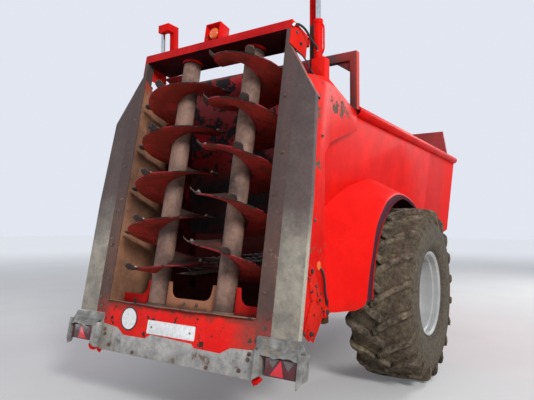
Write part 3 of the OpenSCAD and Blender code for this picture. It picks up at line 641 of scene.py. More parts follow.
FINISHES = {
    "red_paint": Finish(RED, RED_DEEP, worn=0.22, **PAINT_WEAR),
    "hopper_paint": Finish(
        tint(240, 26, 18), tint(222, 20, 15), worn=0.01, edge=0.25, streaks=0.05,
        zones=(
            # Painted shade and light of the wall's folds: the panel forward of the first fold is
            # painted darker and the facet at the front lighter.
            Zone(Along.Y, 4.05, 4.15, tint(196, 14, 15), 0.4, 0.0),
            Zone(Along.Y, 4.98, 5.04, tint(238, 30, 22), 0.8, 0.0),
            Zone(Along.Z, 1.3, 1.1, MUD, 0.3, 0.1),
            # Painted shade: faces looking in towards the middle and faces looking to the rear are
            # darkened.
            Zone(Along.FACE_SIDE, -0.2, -0.6, PAINTED_INSIDE_SHADE, 0.94, 0.05),
            Zone(Along.FACE_BACK, -0.9, -0.97, PAINTED_INSIDE_SHADE, 0.94, 0.0),
        ), **PAINT_WEAR),
    "fender_paint": Finish(
        # The pale pink bare colour on this sheet's edges is a painted highlight along the lip.
        tint(242, 30, 24), tint(232, 24, 20), bare_or_highlight=tint(238, 150, 140), worn=0.0,
        edge=0.7, streaks=0.04, zones=(
            # Painted shade: the turned-in lip that faces outwards is dark with a purple tint of
            # painted sky reflection, and the faces looking inwards and downwards under the sheet
            # are dark.
            Zone(Along.FACE_SIDE, 0.955, 0.975, tint(58, 44, 56), 0.95, 0.002, 8),
            Zone(Along.FACE_SIDE, 0.1, -0.3, tint(58, 40, 46), 0.9, 0.02, 8),
            Zone(Along.FACE_UP, -0.12, -0.3, tint(58, 40, 46), 0.9, 0.02, 8),
            Zone(Along.Z, 0.98, 0.84, tint(150, 40, 30), 0.3, 0.1),
        ), **PAINT_WEAR),
    "side_plate_paint": Finish(
        tint(236, 36, 28), tint(218, 26, 22), bare_or_highlight=tint(108, 86, 74), worn=0.36,
        worn_scale=4.5, worn_soft=0.02, edge=0.5, zones=(
            Zone(Along.Y, 0.36, 0.16, BROWN, 0.6, 0.12, 5),
            # Painted shade on the parts of the plate that lie inwards of its outer face.
            Zone(Along.MIDDLE, 0.985, 0.97, tint(44, 26, 26), 0.94, 0.0),
            Zone(Along.Z, 2.79, 2.80, tint(232, 32, 26), 1.0, 0.0)),
        **PAINT_WEAR),
    "hoop_paint": Finish(
        tint(150, 44, 38), tint(92, 50, 50), bare_or_highlight=tint(76, 58, 54), worn=0.45,
        worn_scale=5, worn_soft=0.12, gloss=0.5, zones=(
            # Painted light: faces that look to the right, where the light comes from, are painted
            # brighter.
            Zone(Along.FACE_OUT, 0.6, 0.9, tint(226, 60, 44), 0.8, 0.02),)),
    "headboard_paint": Finish(
        tint(172, 42, 40), tint(140, 32, 34), bare_or_highlight=tint(96, 66, 60), worn=0.3,
        worn_scale=5, worn_soft=0.1, gloss=0.5),
    "beam_paint": Finish(
        tint(210, 34, 36), tint(176, 26, 30), bare_or_highlight=tint(70, 54, 50), worn=0.3,
        # Painted shade on faces looking down, and painted light on faces looking to the right.
        zones=(Zone(Along.FACE_UP, -0.3, -0.8, tint(24, 18, 22), 0.92, 0.05),
               Zone(Along.FACE_OUT, 0.6, 0.9, tint(236, 40, 28), 0.8, 0.02)), **PAINT_WEAR),
    "apron_paint": Finish(
        tint(244, 44, 38), tint(228, 34, 32), bare_or_highlight=tint(66, 50, 46), worn=0.34,
        worn_scale=9, worn_soft=0.015, zones=(
            Zone(Along.PLANE, -0.07, -0.01, tint(104, 62, 52), 0.7, 0.045, 10),
            Zone(Along.X, 0.5, 0.76, BROWN, 0.6, 0.12, 9),
            Zone(Along.X, -0.68, -0.84, BROWN, 0.6, 0.08, 9),
        ), **PAINT_WEAR),
    "guard_paint": Finish(
        tint(232, 34, 30), tint(200, 28, 28), bare_or_highlight=BROWN, worn=0.3, zones=(
            Zone(Along.X, -0.34, -0.27, tint(178, 122, 94), 1.0, 0.02),
            Zone(Along.X, 0.26, 0.34, tint(196, 24, 26), 0.95, 0.02),
            Zone(Along.PLANE, 0.05, 0.0, BROWN_DARK, 0.6, 0.03, 12)), **PAINT_WEAR),
    "door_paint": Finish(
        tint(182, 26, 36), tint(140, 18, 30), bare_or_highlight=tint(30, 22, 26), worn=0.5,
        worn_scale=6, worn_soft=0.015, grain_height=0.3, zones=(
            # The lower door is painted black: partly black muck, partly painted shade.
            Zone(Along.Z, 2.3, 1.95, BLACK, 0.92, 0.12, 6),
            Zone(Along.FACE_UP, 0.4, 0.8, BROWN, 0.6, 0.05))),
    "arm_paint": Finish(
        RED, RED_DEEP, bare_or_highlight=BROWN, worn=0.24, zones=(
            Zone(Along.Z, 3.36, 3.33, tint(96, 80, 72), 0.95, 0.015, 14),), **PAINT_WEAR),
    "barrel_paint": Finish(RED, tint(214, 22, 20), worn=0.03, edge=0.3, **PAINT_WEAR),
    "flight_paint": Finish(
        tint(149, 24, 34), tint(76, 18, 24), bare_or_highlight=tint(26, 18, 20), worn=0.53,
        worn_scale=7, worn_soft=0.02, edge=1.0, edge_radius=0.009,
        grain_height=0.5, dents=0.4, streaks=0, shine=0.3, cloud_scale=7, zones=(
            # Painted light: faces looking down are painted a lit orange-red.
            Zone(Along.FACE_UP, -0.55, -0.95, tint(196, 56, 36), 0.55, 0.2, 4),
            Zone(Along.FACE_UP, 0.5, 0.9, tint(78, 58, 50), 0.75, 0.1, 6))),
    "knife_steel": Finish(
        tint(84, 62, 54), tint(48, 36, 32), bare_or_highlight=tint(150, 128, 108), worn=0.24,
        edge=1.0, edge_radius=0.004, gloss=0.5, metal=0.2, bare_metal=0.3, streaks=0),
    "bolt_rusty": Finish(
        tint(128, 104, 92), tint(92, 70, 62), bare_or_highlight=tint(70, 50, 44), worn=0.4,
        gloss=0.5, streaks=0, edge=0.5, edge_radius=0.003),
    "bolt_zinc": Finish(
        tint(172, 164, 154), tint(138, 126, 114), bare_or_highlight=tint(110, 82, 62), worn=0.3,
        gloss=0.35, metal=0.5, bare_metal=0.2, streaks=0, edge=0.2),
    "beater_tube": Finish(
        tint(156, 122, 106), tint(99, 77, 69), bare_or_highlight=tint(60, 47, 44), worn=0.4,
        worn_scale=4.5, worn_soft=0.16, gloss=0.6, grain_height=0.6, grain_scale=110,
        dents=0.1, cloud_scale=5, streaks=0.2),
    "chamber_steel": Finish(
        tint(166, 119, 90), tint(125, 90, 71), bare_or_highlight=tint(52, 39, 36), worn=0.42,
        worn_scale=2.6, worn_soft=0.16, gloss=0.6, grain_height=0.6, shine=0.2, zones=(
            Zone(Along.PLANE, 1.95, 2.2, tint(206, 54, 42), 0.7, 0.1, 7),)),
    "post_steel": Finish(
        tint(108, 76, 66), tint(84, 62, 57), bare_or_highlight=tint(134, 108, 94), worn=0.3,
        worn_scale=9, edge=1.0, edge_radius=0.01, gloss=0.6, grain_height=0.7,
        grain_scale=120, streaks=0.3, dents=0.2, zones=(
            Zone(Along.PLANE, 0.5, 1.3, tint(88, 72, 70), 0.9, 0.2),
            Zone(Along.PLANE, 0.1, -0.1, tint(190, 60, 50), 0.5, 0.08, 9))),
    "wing_steel": Finish(
        tint(172, 163, 148), tint(138, 132, 122), bare_or_highlight=tint(176, 158, 132), worn=0.36,
        worn_scale=6, worn_soft=0.1, edge=1.0, edge_radius=0.01, gloss=0.5, metal=0.15,
        grain_height=0.4, grain_scale=160, cloud_scale=7, streaks=0.3, zones=(
            Zone(Along.FACE_SIDE, 0.55, 0.9, tint(190, 184, 166), 0.8, 0.03, 12),
            Zone(Along.PLANE, 0.45, 1.0, tint(92, 76, 74), 0.95, 0.16, 3),
            Zone(Along.PLANE, 1.0, 2.0, tint(74, 60, 60), 0.6, 0.4, 7))),
    "galvanised": Finish(
        tint(160, 159, 154), tint(112, 110, 106), bare_or_highlight=tint(156, 138, 116), worn=0.36,
        worn_soft=0.08, metal=0.25, cloud_scale=9, grain_height=0.25, edge=0.7, dents=0.2),
    "bumper_zinc": Finish(
        tint(183, 179, 172), tint(146, 144, 142), bare_or_highlight=tint(122, 98, 78), worn=0.34,
        worn_scale=8, worn_soft=0.05, gloss=0.42, metal=0.25, cloud_scale=8, edge=0.8,
        dents=0.5, streaks=0.4, grain_height=0.25, zones=(
            Zone(Along.X, -0.55, -0.8, tint(150, 140, 122), 0.6, 0.1, 8),)),
    "bare_steel": Finish(
        tint(116, 96, 82), tint(84, 68, 60), bare_or_highlight=tint(58, 46, 42), worn=0.3,
        gloss=0.55, metal=0.15),
    "deck_steel": Finish(
        tint(122, 96, 76), tint(82, 64, 56), bare_or_highlight=tint(44, 34, 32), worn=0.35,
        worn_scale=5, worn_soft=0.1, edge=1.0, edge_radius=0.008, gloss=0.6,
        zones=(Zone(Along.FACE_UP, 0.3, 0.8, tint(62, 48, 42), 0.7, 0.1, 6),)),
    "dark_steel": Finish(
        tint(54, 46, 46), tint(36, 30, 32), bare_or_highlight=tint(86, 64, 50), worn=0.25, gloss=0.5),
    "chain_steel": Finish(
        tint(88, 76, 70), tint(60, 52, 50), bare_or_highlight=tint(150, 136, 128), worn=0.25,
        edge=1.0, metal=0.4, bare_metal=0.6, streaks=0),
    "shaft_red": Finish(
        tint(120, 20, 28), tint(60, 14, 20), bare_or_highlight=BLACK, worn=0.4, worn_soft=0.1,
        gloss=0.5),
    "red_worn": Finish(
        tint(176, 30, 30), tint(132, 26, 28), bare_or_highlight=BROWN_DARK, worn=0.3, gloss=0.42),
    "tyre_rubber": Finish(
        # The pale ochre bare colour is mud on the worn patches; on the lugs' edges it is partly mud
        # and partly a painted highlight.
        tint(138, 124, 106), tint(80, 72, 64), bare_or_highlight=tint(172, 154, 120), worn=0.47,
        worn_scale=6, worn_soft=0.2, edge=0.9, edge_radius=0.012, gloss=0.8,
        grain_height=1.0, grain_scale=38, cloud_scale=14, streaks=0, dents=0.8, shine=0.12,
        speck=0.5, zones=(
            Zone(Along.WHEEL, 0.862, 0.838, tint(92, 80, 66), 0.6, 0.02, 14),
            Zone(Along.WHEEL, 0.74, 0.70, tint(108, 102, 92), 0.6, 0.02, 7),
            Zone(Along.WHEEL, 0.52, 0.46, tint(96, 88, 78), 0.6, 0.03, 9))),
    "rim_silver": Finish(
        tint(186, 186, 184), tint(168, 168, 167), bare_or_highlight=tint(120, 104, 84), worn=0.05,
        worn_soft=0.1, gloss=0.3, metal=0.2, streaks=0.1, edge=0.1, grain_height=0.02,
        speck=0.03),
    "chrome_rod": Finish(
        tint(214, 216, 218), tint(198, 202, 206), worn=0, edge=0, metal=1.0,
        bare_metal=1.0, gloss=0.08, streaks=0, grain_height=0.02),
    "lamp_red": Finish(
        tint(96, 8, 22), tint(66, 6, 16), worn=0, edge=0, gloss=0.12, coat=0.6,
        streaks=0.2, grain_height=0.15, grain_scale=300),
    "mark_red": Finish(
        tint(226, 10, 34), tint(196, 8, 28), worn=0, edge=0, gloss=0.1, coat=0.8,
        # Painted light: the red triangles glow though the lamp is not lit.
        streaks=0.05, grain_height=0.3, grain_scale=420, glow=0.12),
    "mark_grey": Finish(
        tint(116, 108, 104), tint(90, 80, 78), worn_soft=0.2, edge=0, gloss=0.2,
        coat=0.5, streaks=0.1, grain_height=0.3, grain_scale=420),
    "lens_amber": Finish(
        tint(240, 110, 24), tint(222, 86, 16), worn=0, edge=0, gloss=0.12, coat=0.6,
        # Painted light: the amber lenses glow though they are not lit.
        streaks=0, grain_height=0.1, glow=0.1),
    "plate_white": Finish(
        tint(252, 252, 250), tint(240, 241, 240), bare_or_highlight=tint(176, 160, 140), worn=0.05,
        edge=0.2, gloss=0.35, streaks=0.12, grain_height=0.05),
    "slat_steel": Finish(
        tint(92, 66, 66), tint(66, 48, 50), bare_or_highlight=tint(190, 158, 156), worn=0.3,
        edge=1.0, edge_radius=0.012, gloss=0.4, metal=0.2, bare_metal=0.3, streaks=0),
    "chassis_paint": Finish(
        tint(222, 26, 20), tint(196, 22, 18), bare_or_highlight=BROWN, worn=0.1, edge=0.4,
        zones=(
            Zone(Along.Y, 1.7, 1.0, tint(30, 20, 22), 0.94, 0.1),
            Zone(Along.Z, 0.95, 0.75, MUD, 0.45, 0.08, 6)), **PAINT_WEAR),
    "front_paint": Finish(
        tint(236, 26, 20), tint(220, 20, 17), worn=0.02, edge=0.3, streaks=0.1,
        zones=(Zone(Along.Z, 1.5, 1.1, MUD, 0.3, 0.12),), **PAINT_WEAR),
    "linkage_paint": Finish(
        tint(230, 44, 30), tint(206, 34, 26), bare_or_highlight=tint(60, 46, 42), worn=0.38,
        worn_scale=14, edge=0.8, streaks=0.3, **PAINT_WEAR),
    "lip_steel": Finish(
        tint(146, 116, 100), tint(110, 84, 76), bare_or_highlight=tint(58, 44, 42), worn=0.3,
        worn_scale=9, edge=1.0, gloss=0.5, streaks=0),
    "flange_brown": Finish(
        tint(146, 96, 86), tint(108, 72, 68), bare_or_highlight=tint(206, 56, 44), worn=0.42,
        worn_scale=8, edge=0.8, streaks=0.4, gloss=0.55),
    "sign_black": Finish(
        tint(26, 25, 27), tint(38, 36, 38), worn=0.1, edge=0.1, gloss=0.5, streaks=0.1),
    "hose_rubber": Finish(
        tint(30, 29, 31), tint(42, 40, 41), bare_or_highlight=tint(84, 72, 60), worn=0.15, edge=0,
        gloss=0.5, streaks=0, grain_scale=300),
    "guard_plastic": Finish(
        tint(206, 168, 40), tint(178, 142, 36), bare_or_highlight=MUD, edge=0),
}

NODE_FINISHES = {
    "posts": "post_steel", "wings": "wing_steel", "chamber_walls": "chamber_steel",
    "beater_shaft": "beater_tube", "door_panel": "door_paint", "door_arms": "arm_paint",
    "cylinders": "barrel_paint", "apron": "apron_paint", "guard": "guard_paint",
    "top_beam": "beam_paint", "deck": "deck_steel", "side_wall": "hopper_paint",
    "rear_plate": "side_plate_paint", "hoop": "hoop_paint", "headboard": "headboard_paint",
    "bumper": "bumper_zinc", "conveyor_shaft": "shaft_red", "front_wall": "front_paint",
    "chassis_frame": "chassis_paint", "rear_gearcase": "dark_steel",
    "conveyor": "slat_steel", "floor": "bare_steel",
}
MIRROR = Matrix.Diagonal((-1, 1, 1, 1))


@dataclass
class Bench:
    """The modelling bench: short calls that shape meshes by operators."""

    finishes: dict[str, Material]
    merge: float = 0.00002

    def clear(self) -> None:
        """Leaves edit mode and drops the selection."""
        if bpy.context.object and bpy.context.object.mode == "EDIT":
            bpy.ops.object.mode_set(mode="OBJECT")
        bpy.ops.object.select_all(action="DESELECT")

    def only(self, made: Thing) -> None:
        """Selects one piece alone.

        Args:
            made: The piece.
        """
        self.clear()
        made.select_set(True)
        bpy.context.view_layer.objects.active = made

    def take(self) -> Thing:
        """Puts the new primitive's place into its mesh and gives the piece."""
        bpy.ops.object.transform_apply(location=True, rotation=True, scale=True)
        return bpy.context.object

    def edit(self, made: Thing, kind: str = "FACE", action: str = "SELECT") -> None:
        """Opens a piece for editing with all or nothing of it selected.

        Args:
            made: The piece.
            kind: What is selected: faces, edges or corners.
            action: Whether all or nothing is.
        """
        self.only(made)
        bpy.ops.object.mode_set(mode="EDIT")
        bpy.ops.mesh.select_mode(type=kind)
        bpy.ops.mesh.select_all(action=action)

    def merge_doubles(self) -> None:
        """Merges the piece's doubles and leaves all of it selected, in edit mode."""
        bpy.ops.mesh.select_all(action="SELECT")
        bpy.ops.mesh.remove_doubles(threshold=self.merge)
        bpy.ops.mesh.select_all(action="SELECT")

    def face_outwards(self) -> None:
        """Turns all faces outwards and leaves edit mode."""
        bpy.ops.mesh.select_all(action="SELECT")
        bpy.ops.mesh.normals_make_consistent(inside=False)
        self.clear()

    def draw_out(self, move: Vector | Point) -> None:
        """Extrudes what is selected, in edit mode."""
        bpy.ops.mesh.extrude_region_move(TRANSFORM_OT_translate={"value": tuple(move)})

    def shape(
        self,
        made: Thing,
        test: Callable[[Vector, Vector], bool],
        inset: float = 0,
        move: Point | None = None,
        scale: Point | None = None,
    ) -> Thing:
        """Insets, draws out and scales some faces of a piece.

        Args:
            made: The piece.
            test: Picks a face by its middle and its normal.
            inset: Width of the border that stays.
            move: How far the faces are drawn out.
            scale: Their size along each axis afterwards.

        Returns:
            The piece.
        """
        self.edit(made, action="DESELECT")
        mesh = bmesh.from_edit_mesh(made.data)
        for face in mesh.faces:
            face.select_set(test(face.calc_center_median(), face.normal))
        bmesh.update_edit_mesh(made.data)
        if inset:
            bpy.ops.mesh.inset(thickness=inset, depth=0)
        if move:
            self.draw_out(move)
        if scale:
            bpy.ops.transform.resize(value=scale)
        self.clear()
        return made

    def block(self, low: Vector | Point, high: Vector | Point) -> Thing:
        """Adds a block between two corners.

        Args:
            low: Its low corner.
            high: Its high corner.

        Returns:
            The piece.
        """
        self.clear()
        low, high = Vector(low), Vector(high)
        bpy.ops.mesh.primitive_cube_add(size=1, location=(low + high) / 2, scale=high - low)
        return self.take()

    def rod(
        self, start: Vector, end: Vector, radius: float, sides: int = 24, tip: float | None = None
    ) -> Thing:
        """Adds a round bar or cone between two points.

        Args:
            start: Middle of its first end.
            end: Middle of its second end.
            radius: Its radius at the first end.
            sides: Number of its sides.
            tip: Its radius at the second end, or the same.

        Returns:
            The piece.
        """
        self.clear()
        axis = end - start
        bpy.ops.mesh.primitive_cone_add(
            vertices=sides, radius1=radius, radius2=radius if tip is None else tip,
            depth=axis.length, location=(start + end) / 2,
            rotation=axis.to_track_quat("Z", "Y").to_euler(),
        )
        return self.take()

    def plate(self, corners: list[Vector], push: Vector) -> Thing:
        """Cuts a sheet to an outline and gives it its thickness.

        Args:
            corners: The outline in order.
            push: Direction and distance of its thickness.

        Returns:
            The piece.
        """
        self.clear()
        bpy.ops.mesh.primitive_circle_add(vertices=len(corners), radius=1, fill_type="NGON")
        made = self.take()
        for vertex, corner in zip(made.data.vertices, corners):
            vertex.co = corner
        self.edit(made)
        self.draw_out(push)
        self.face_outwards()
        return made

    def line(self, points: list[Vector]) -> Thing:
        """Draws a line by extruding one corner from point to point.

        Args:
            points: The points in order.

        Returns:
            The piece.
        """
        self.clear()
        bpy.ops.mesh.primitive_plane_add(size=0.01, location=points[0])
        made = self.take()
        self.edit(made, "VERT")
        bpy.ops.mesh.merge(type="CENTER")
        for first, second in zip(points, points[1:]):
            self.draw_out(second - first)
        self.clear()
        return made

    def spin(self, points: list[Vector], centre: Vector, axis: Point, steps: int) -> Thing:
        """Turns a section about an axis into a closed ring.

        Args:
            points: The section in order, its last point joined to its first.
            centre: A point on the axis.
            axis: Direction of the axis.
            steps: Number of steps round it.

        Returns:
            The piece.
        """
        made = self.line([*points, points[0]])
        self.edit(made, "VERT")
        self.merge_doubles()
        bpy.ops.mesh.spin(steps=steps, angle=math.tau, center=centre, axis=axis)
        self.merge_doubles()
        self.face_outwards()
        return made

    def turned(
        self, section: Curve, centre: Vector, axis: Vector, steps: int
    ) -> Thing:
        """Turns a section about an axis that stands off the rear plane.

        Args:
            section: Radius and distance along the axis of each of its points.
            centre: Where the distances start.
            axis: Direction of the axis, of length 1.
            steps: Number of steps round it.

        Returns:
            The piece.
        """
        points = [centre + axis * out + Vector((radius, 0, 0)) for radius, out in section]
        return self.spin(points, centre, tuple(axis), steps)

    def skin(
        self, across: int, along: int, place: Callable[[int, int], Vector], fill: bool = False
    ) -> Thing:
        """Bends a grid to a shape.

        Args:
            across: Cells across the grid.
            along: Cells along the grid.
            place: Gives a corner's place from its number across and along.
            fill: Whether the grid closes on itself and its ends are filled.

        Returns:
            The piece.
        """
        self.clear()
        bpy.ops.mesh.primitive_grid_add(x_subdivisions=across, y_subdivisions=along, size=1)
        made = self.take()
        for vertex in made.data.vertices:
            u = round((vertex.co.x + 0.5) * across)
            v = round((vertex.co.y + 0.5) * along)
            vertex.co = place(u, v)
        if fill:
            self.edit(made, "VERT")
            self.merge_doubles()
            bpy.ops.mesh.fill_holes(sides=0)
            self.face_outwards()
        return made

    def modify(self, made: Thing, kind: str, **values: object) -> Thing:
        """Adds a modifier and applies it.

        Args:
            made: The piece.
            kind: The modifier's type.
            values: Its settings.

        Returns:
            The piece.
        """
        self.only(made)
        modifier = made.modifiers.new("shape", kind)
        for name, value in values.items():
            setattr(modifier, name, value)
        bpy.ops.object.modifier_apply(modifier=modifier.name)
        return made

    def soften(self, made: Thing, width: float, segments: int = 2) -> Thing:
        """Rounds a piece's sharp edges."""
        return self.modify(made, "BEVEL", width=width, segments=segments, limit_method="ANGLE",
                           angle_limit=math.radians(35))

    def thicken(self, made: Thing, thickness: float, side: float = -1) -> Thing:
        """Gives a sheet its thickness."""
        return self.modify(made, "SOLIDIFY", thickness=thickness, offset=side)

    def copy(self, made: Thing, move: Matrix) -> Thing:
        """Copies a piece with its own mesh to another place.

        Args:
            made: The piece.
            move: Where the copy goes, or its mirror.

        Returns:
            The copy.
        """
        copied = made.copy()
        copied.data = made.data.copy()
        copied.data.transform(move)
        if move.determinant() < 0:
            copied.data.flip_normals()
        bpy.context.scene.collection.objects.link(copied)
        return copied

    def both(self, parts: Parts) -> Parts:
        """Gives the parts with their copies on the machine's other side."""
        return parts + [self.copy(part, MIRROR) for part in parts]

    def roughen(self, made: Thing, amount: float, scale: float) -> Thing:
        """Moves a piece's corners a little, as wear and dents do.

        Args:
            made: The piece.
            amount: The largest move.
            scale: Waves per metre.

        Returns:
            The piece.
        """
        for vertex in made.data.vertices:
            vertex.co += noise.noise_vector(vertex.co * scale) * amount
        return made

    def tube(self, points: list[Vector], radius: float, sides: int = 4) -> Thing:
        """Bends a tube smoothly along points.

        Args:
            points: The points in order.
            radius: The tube's radius.
            sides: Fineness of its round.

        Returns:
            The piece.
        """
        self.clear()
        data = bpy.data.curves.new("path", "CURVE")
        data.dimensions = "3D"
        data.bevel_depth = radius
        data.bevel_resolution = sides
        data.use_fill_caps = True
        data.resolution_u = 8
        path = data.splines.new("NURBS")
        path.points.add(len(points) - 1)
        for knot, point in zip(path.points, points):
            knot.co = (*point, 1)
        path.use_endpoint_u = True
        path.order_u = 3
        made = bpy.data.objects.new("tube", data)
        bpy.context.scene.collection.objects.link(made)
        self.only(made)
        bpy.ops.object.convert(target="MESH")
        return bpy.context.object

    def bolt(self, size: float = 0.024) -> Thing:
        """Models a bolt head with its washer at the origin, standing up along Z.

        Args:
            size: Width of its head.

        Returns:
            The bolt.
        """
        head = self.rod(Vector((0, 0, 0.003)), Vector((0, 0, 0.003 + size * 0.45)), size / 1.7, 6)
        head = self.soften(head, size * 0.06)
        washer = self.rod(Vector((0, 0, -0.001)), Vector((0, 0, 0.0035)), size * 0.85, 16)
        stud = self.rod(Vector((0, 0, 0.003)), Vector((0, 0, size * 0.75)), size * 0.3, 10)
        return self.join([head, washer, stud])

    def bolts(self, places: list[tuple[Vector, Vector]], size: float = 0.024) -> Parts:
        """Sets bolts at places, each with the direction in which it stands.

        Args:
            places: Place and direction of each.
            size: Width of their heads.

        Returns:
            The bolts.
        """
        master = self.bolt(size)
        made = []
        for place, out in places:
            turn = out.to_track_quat("Z", "Y").to_matrix().to_4x4()
            made.append(self.copy(master, Matrix.Translation(place) @ turn))
        bpy.data.objects.remove(master)
        return made

    def join(self, parts: Parts) -> Thing:
        """Joins pieces into one.

        Args:
            parts: The pieces.

        Returns:
            The joined piece.
        """
        self.clear()
        for part in parts:
            part.select_set(True)
        bpy.context.view_layer.objects.active = parts[0]
        if len(parts) > 1:
            bpy.ops.object.join()
        return bpy.context.object

    def finish(
        self,
        parts: Parts,
        name: str,
        finish: str,
        slot: str = "",
        replaced: tuple[str, ...] = (),
        body: str = "machine",
        smooth: float = 38,
    ) -> Thing:
        """Joins parts into a finished piece.

        Args:
            parts: The piece's parts.
            name: The piece's name.
            finish: The name of its finish.
            slot: The record's slot of its finish, where its name is another; not used.
            replaced: Nodes that it stands for.
            body: The body that it rides on.
            smooth: Edges flatter than this angle look smooth.

        Returns:
            The piece.
        """
        made = self.join(parts)
        made.name = name
        made.data.name = name
        bpy.ops.object.shade_smooth_by_angle(angle=math.radians(smooth))
        made.data.materials.clear()
        made.data.materials.append(self.finishes[finish])
        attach(made, body)
        slot or finish
        if replaced:
            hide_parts(*replaced)
        log.info("built %s on %s, %d faces", name, body, len(made.data.polygons))
        return made


@dataclass
class Wheels:
    """The two wheels: tyres with their lugs, dished rims, hubs and nuts."""

    bench: Bench
    layout: Layout
    lugs: int = 20
    steps: int = 120
    nuts: int = 10
    nut_ring: float = 0.176
    cap_bolts: int = 6
    half_width: float = 0.3222
    tread: float = 0.885
    crown: float = 0.845
    lining: float = 0.802
    scuff: float = 0.0035
    side_rings: Curve = (
        (0.462, 0.2935), (0.655, 0.3205), (0.742, 0.3105),
    )
    ring_section: Curve = (
        (-0.006, -0.007), (0.002, -0.003), (0.002, 0.003), (-0.006, 0.007),
    )
    valve: Curve = ((0.15, 0.376), (0.17, 0.35), (0.22, 0.345))
    lug_outline: Curve = (
        (-0.052, 0.0), (-0.039, 0.45), (-0.034, 0.86), (-0.026, 1.0), (0.0, 1.0),
        (0.026, 1.0), (0.034, 0.86), (0.039, 0.45), (0.052, 0.0), (0.0, -0.1),
    )
    tyre_half: Curve = (
        (0.262, 0.412), (0.2665, 0.432), (0.285, 0.450), (0.302, 0.480), (0.3165, 0.530),
        (0.3222, 0.585), (0.3215, 0.640), (0.3185, 0.690), (0.312, 0.735), (0.300, 0.775),
        (0.283, 0.805), (0.262, 0.826), (0.225, 0.838), (0.170, 0.842), (0.100, 0.844),
    )
    lining_half: Curve = (
        (0.120, 0.800), (0.200, 0.790), (0.280, 0.720), (0.290, 0.600), (0.262, 0.420),
    )
    lug_stations: tuple[tuple[float, float, float, float], ...] = (
        (-0.045, -0.030, 0.862, 0.832), (-0.036, -0.027, 0.882, 0.832),
        (0.020, 0.012, 0.885, 0.832), (0.080, 0.055, 0.8848, 0.832),
        (0.140, 0.097, 0.884, 0.832), (0.200, 0.133, 0.883, 0.830),
        (0.250, 0.158, 0.878, 0.818), (0.290, 0.176, 0.867, 0.785),
        (0.3130, 0.188, 0.846, 0.745), (0.3205, 0.194, 0.808, 0.735),
    )
    rim_outside: Curve = (
        (0.270, 0.4295), (0.2785, 0.4295), (0.2785, 0.4180), (0.262, 0.3975),
        (0.215, 0.394), (0.203, 0.379), (0.160, 0.375), (0.100, 0.373), (0.078, 0.366),
        (0.064, 0.340), (0.054, 0.300), (0.056, 0.245), (0.062, 0.205), (0.062, 0.146),
        (0.096, 0.143), (0.100, 0.138), (0.100, 0.056),
    )
    rim_inside: Curve = (
        (0.002, 0.056), (0.002, 0.150), (0.046, 0.160), (0.046, 0.205), (0.042, 0.245),
        (0.042, 0.300), (0.052, 0.345), (0.066, 0.374), (-0.100, 0.374), (-0.203, 0.380),
        (-0.215, 0.394), (-0.262, 0.3975), (-0.2785, 0.4180), (-0.2785, 0.4295),
        (-0.270, 0.4295), (-0.262, 0.4055), (-0.212, 0.4020), (-0.198, 0.3880),
        (-0.100, 0.3820), (0.100, 0.3820), (0.160, 0.3830), (0.198, 0.3880),
        (0.212, 0.4020), (0.262, 0.4055),
    )

    def point(self, x: float, radius: float, angle: float = 0) -> Vector:
        """Gives a point of the right wheel.

        Args:
            x: Distance outwards from the wheel's middle.
            radius: Distance from the axis.
            angle: Turn from the rear, upwards.

        Returns:
            The point in the frame.
        """
        return self.layout.axle + Vector(
            (x, -radius * math.cos(angle), radius * math.sin(angle))
        )

    def ring(self, section: list[Pair]) -> Thing:
        """Turns a section about the axle."""
        points = [self.point(x, radius) for x, radius in section]
        return self.bench.spin(points, self.layout.axle, (1, 0, 0), self.steps)

    def carcass(self) -> Thing:
        """Models the tyre without its lugs.

        Returns:
            The tyre's body.
        """

        def across(half: Curve) -> list[Pair]:
            """Gives half of a section again, mirrored and backwards."""
            return [(-x, radius) for x, radius in reversed(half)]

        return self.ring([
            *self.tyre_half, (0, self.crown), *across(self.tyre_half),
            *across(self.lining_half), (0, self.lining), *self.lining_half,
        ])

    def side_ribs(self) -> Parts:
        """Models the raised rings on the tyre's outer and inner side.

        Returns:
            The rings.
        """
        made = []
        for side in (1, -1):
            for radius, x in self.side_rings:
                made.append(self.ring([
                    (side * (x + out), radius + up) for out, up in self.ring_section
                ]))
        return made

    def lug(self) -> Thing:
        """Models one lug with its flared foot and rounded top, on the outer half.

        Returns:
            The lug.
        """
        count = len(self.lug_outline)
        narrow_end = 0.8

        def place(u: int, v: int) -> Vector:
            """Gives a corner of the lug from its number round and along it.

            Args:
                u: Number round the lug.
                v: Number along it.

            Returns:
                The corner.
            """
            x, sweep, top, root = self.lug_stations[v]
            across, height = self.lug_outline[u % count]
            radius = root + height * (top - root)
            across *= 1.0 if v else narrow_end
            return self.point(x, radius, (sweep + across) / self.tread)

        return self.bench.skin(count, len(self.lug_stations) - 1, place, fill=True)

    def turn(self, angle: float, swap: bool) -> Matrix:
        """Gives the turn about the axle, mirrored across the wheel's middle or not.

        Args:
            angle: The turn in radians.
            swap: Whether it is mirrored.

        Returns:
            The move.
        """
        move = Matrix.Translation(self.layout.axle)
        turn = move @ Matrix.Rotation(-angle, 4, "X") @ move.inverted()
        return turn @ (move @ MIRROR @ move.inverted()) if swap else turn

    def scuffed(self, place: Vector, half: int) -> Vector:
        """Moves a corner of a lug a little, within the tyre's width and tread.

        Args:
            place: The corner.
            half: 0 for the outer half, 1 for the inner.

        Returns:
            Its new place.
        """
        keep = Vector((0, 0, self.tread))
        shift = noise.noise_vector(place * 14 + keep * half) * self.scuff
        arm = (place + shift) - self.layout.axle
        flat = Vector((0, arm.y, arm.z))
        if flat.length > self.tread:
            flat *= self.tread / flat.length
        x = max(-self.half_width, min(self.half_width, arm.x))
        return self.layout.axle + Vector((x, flat.y, flat.z))

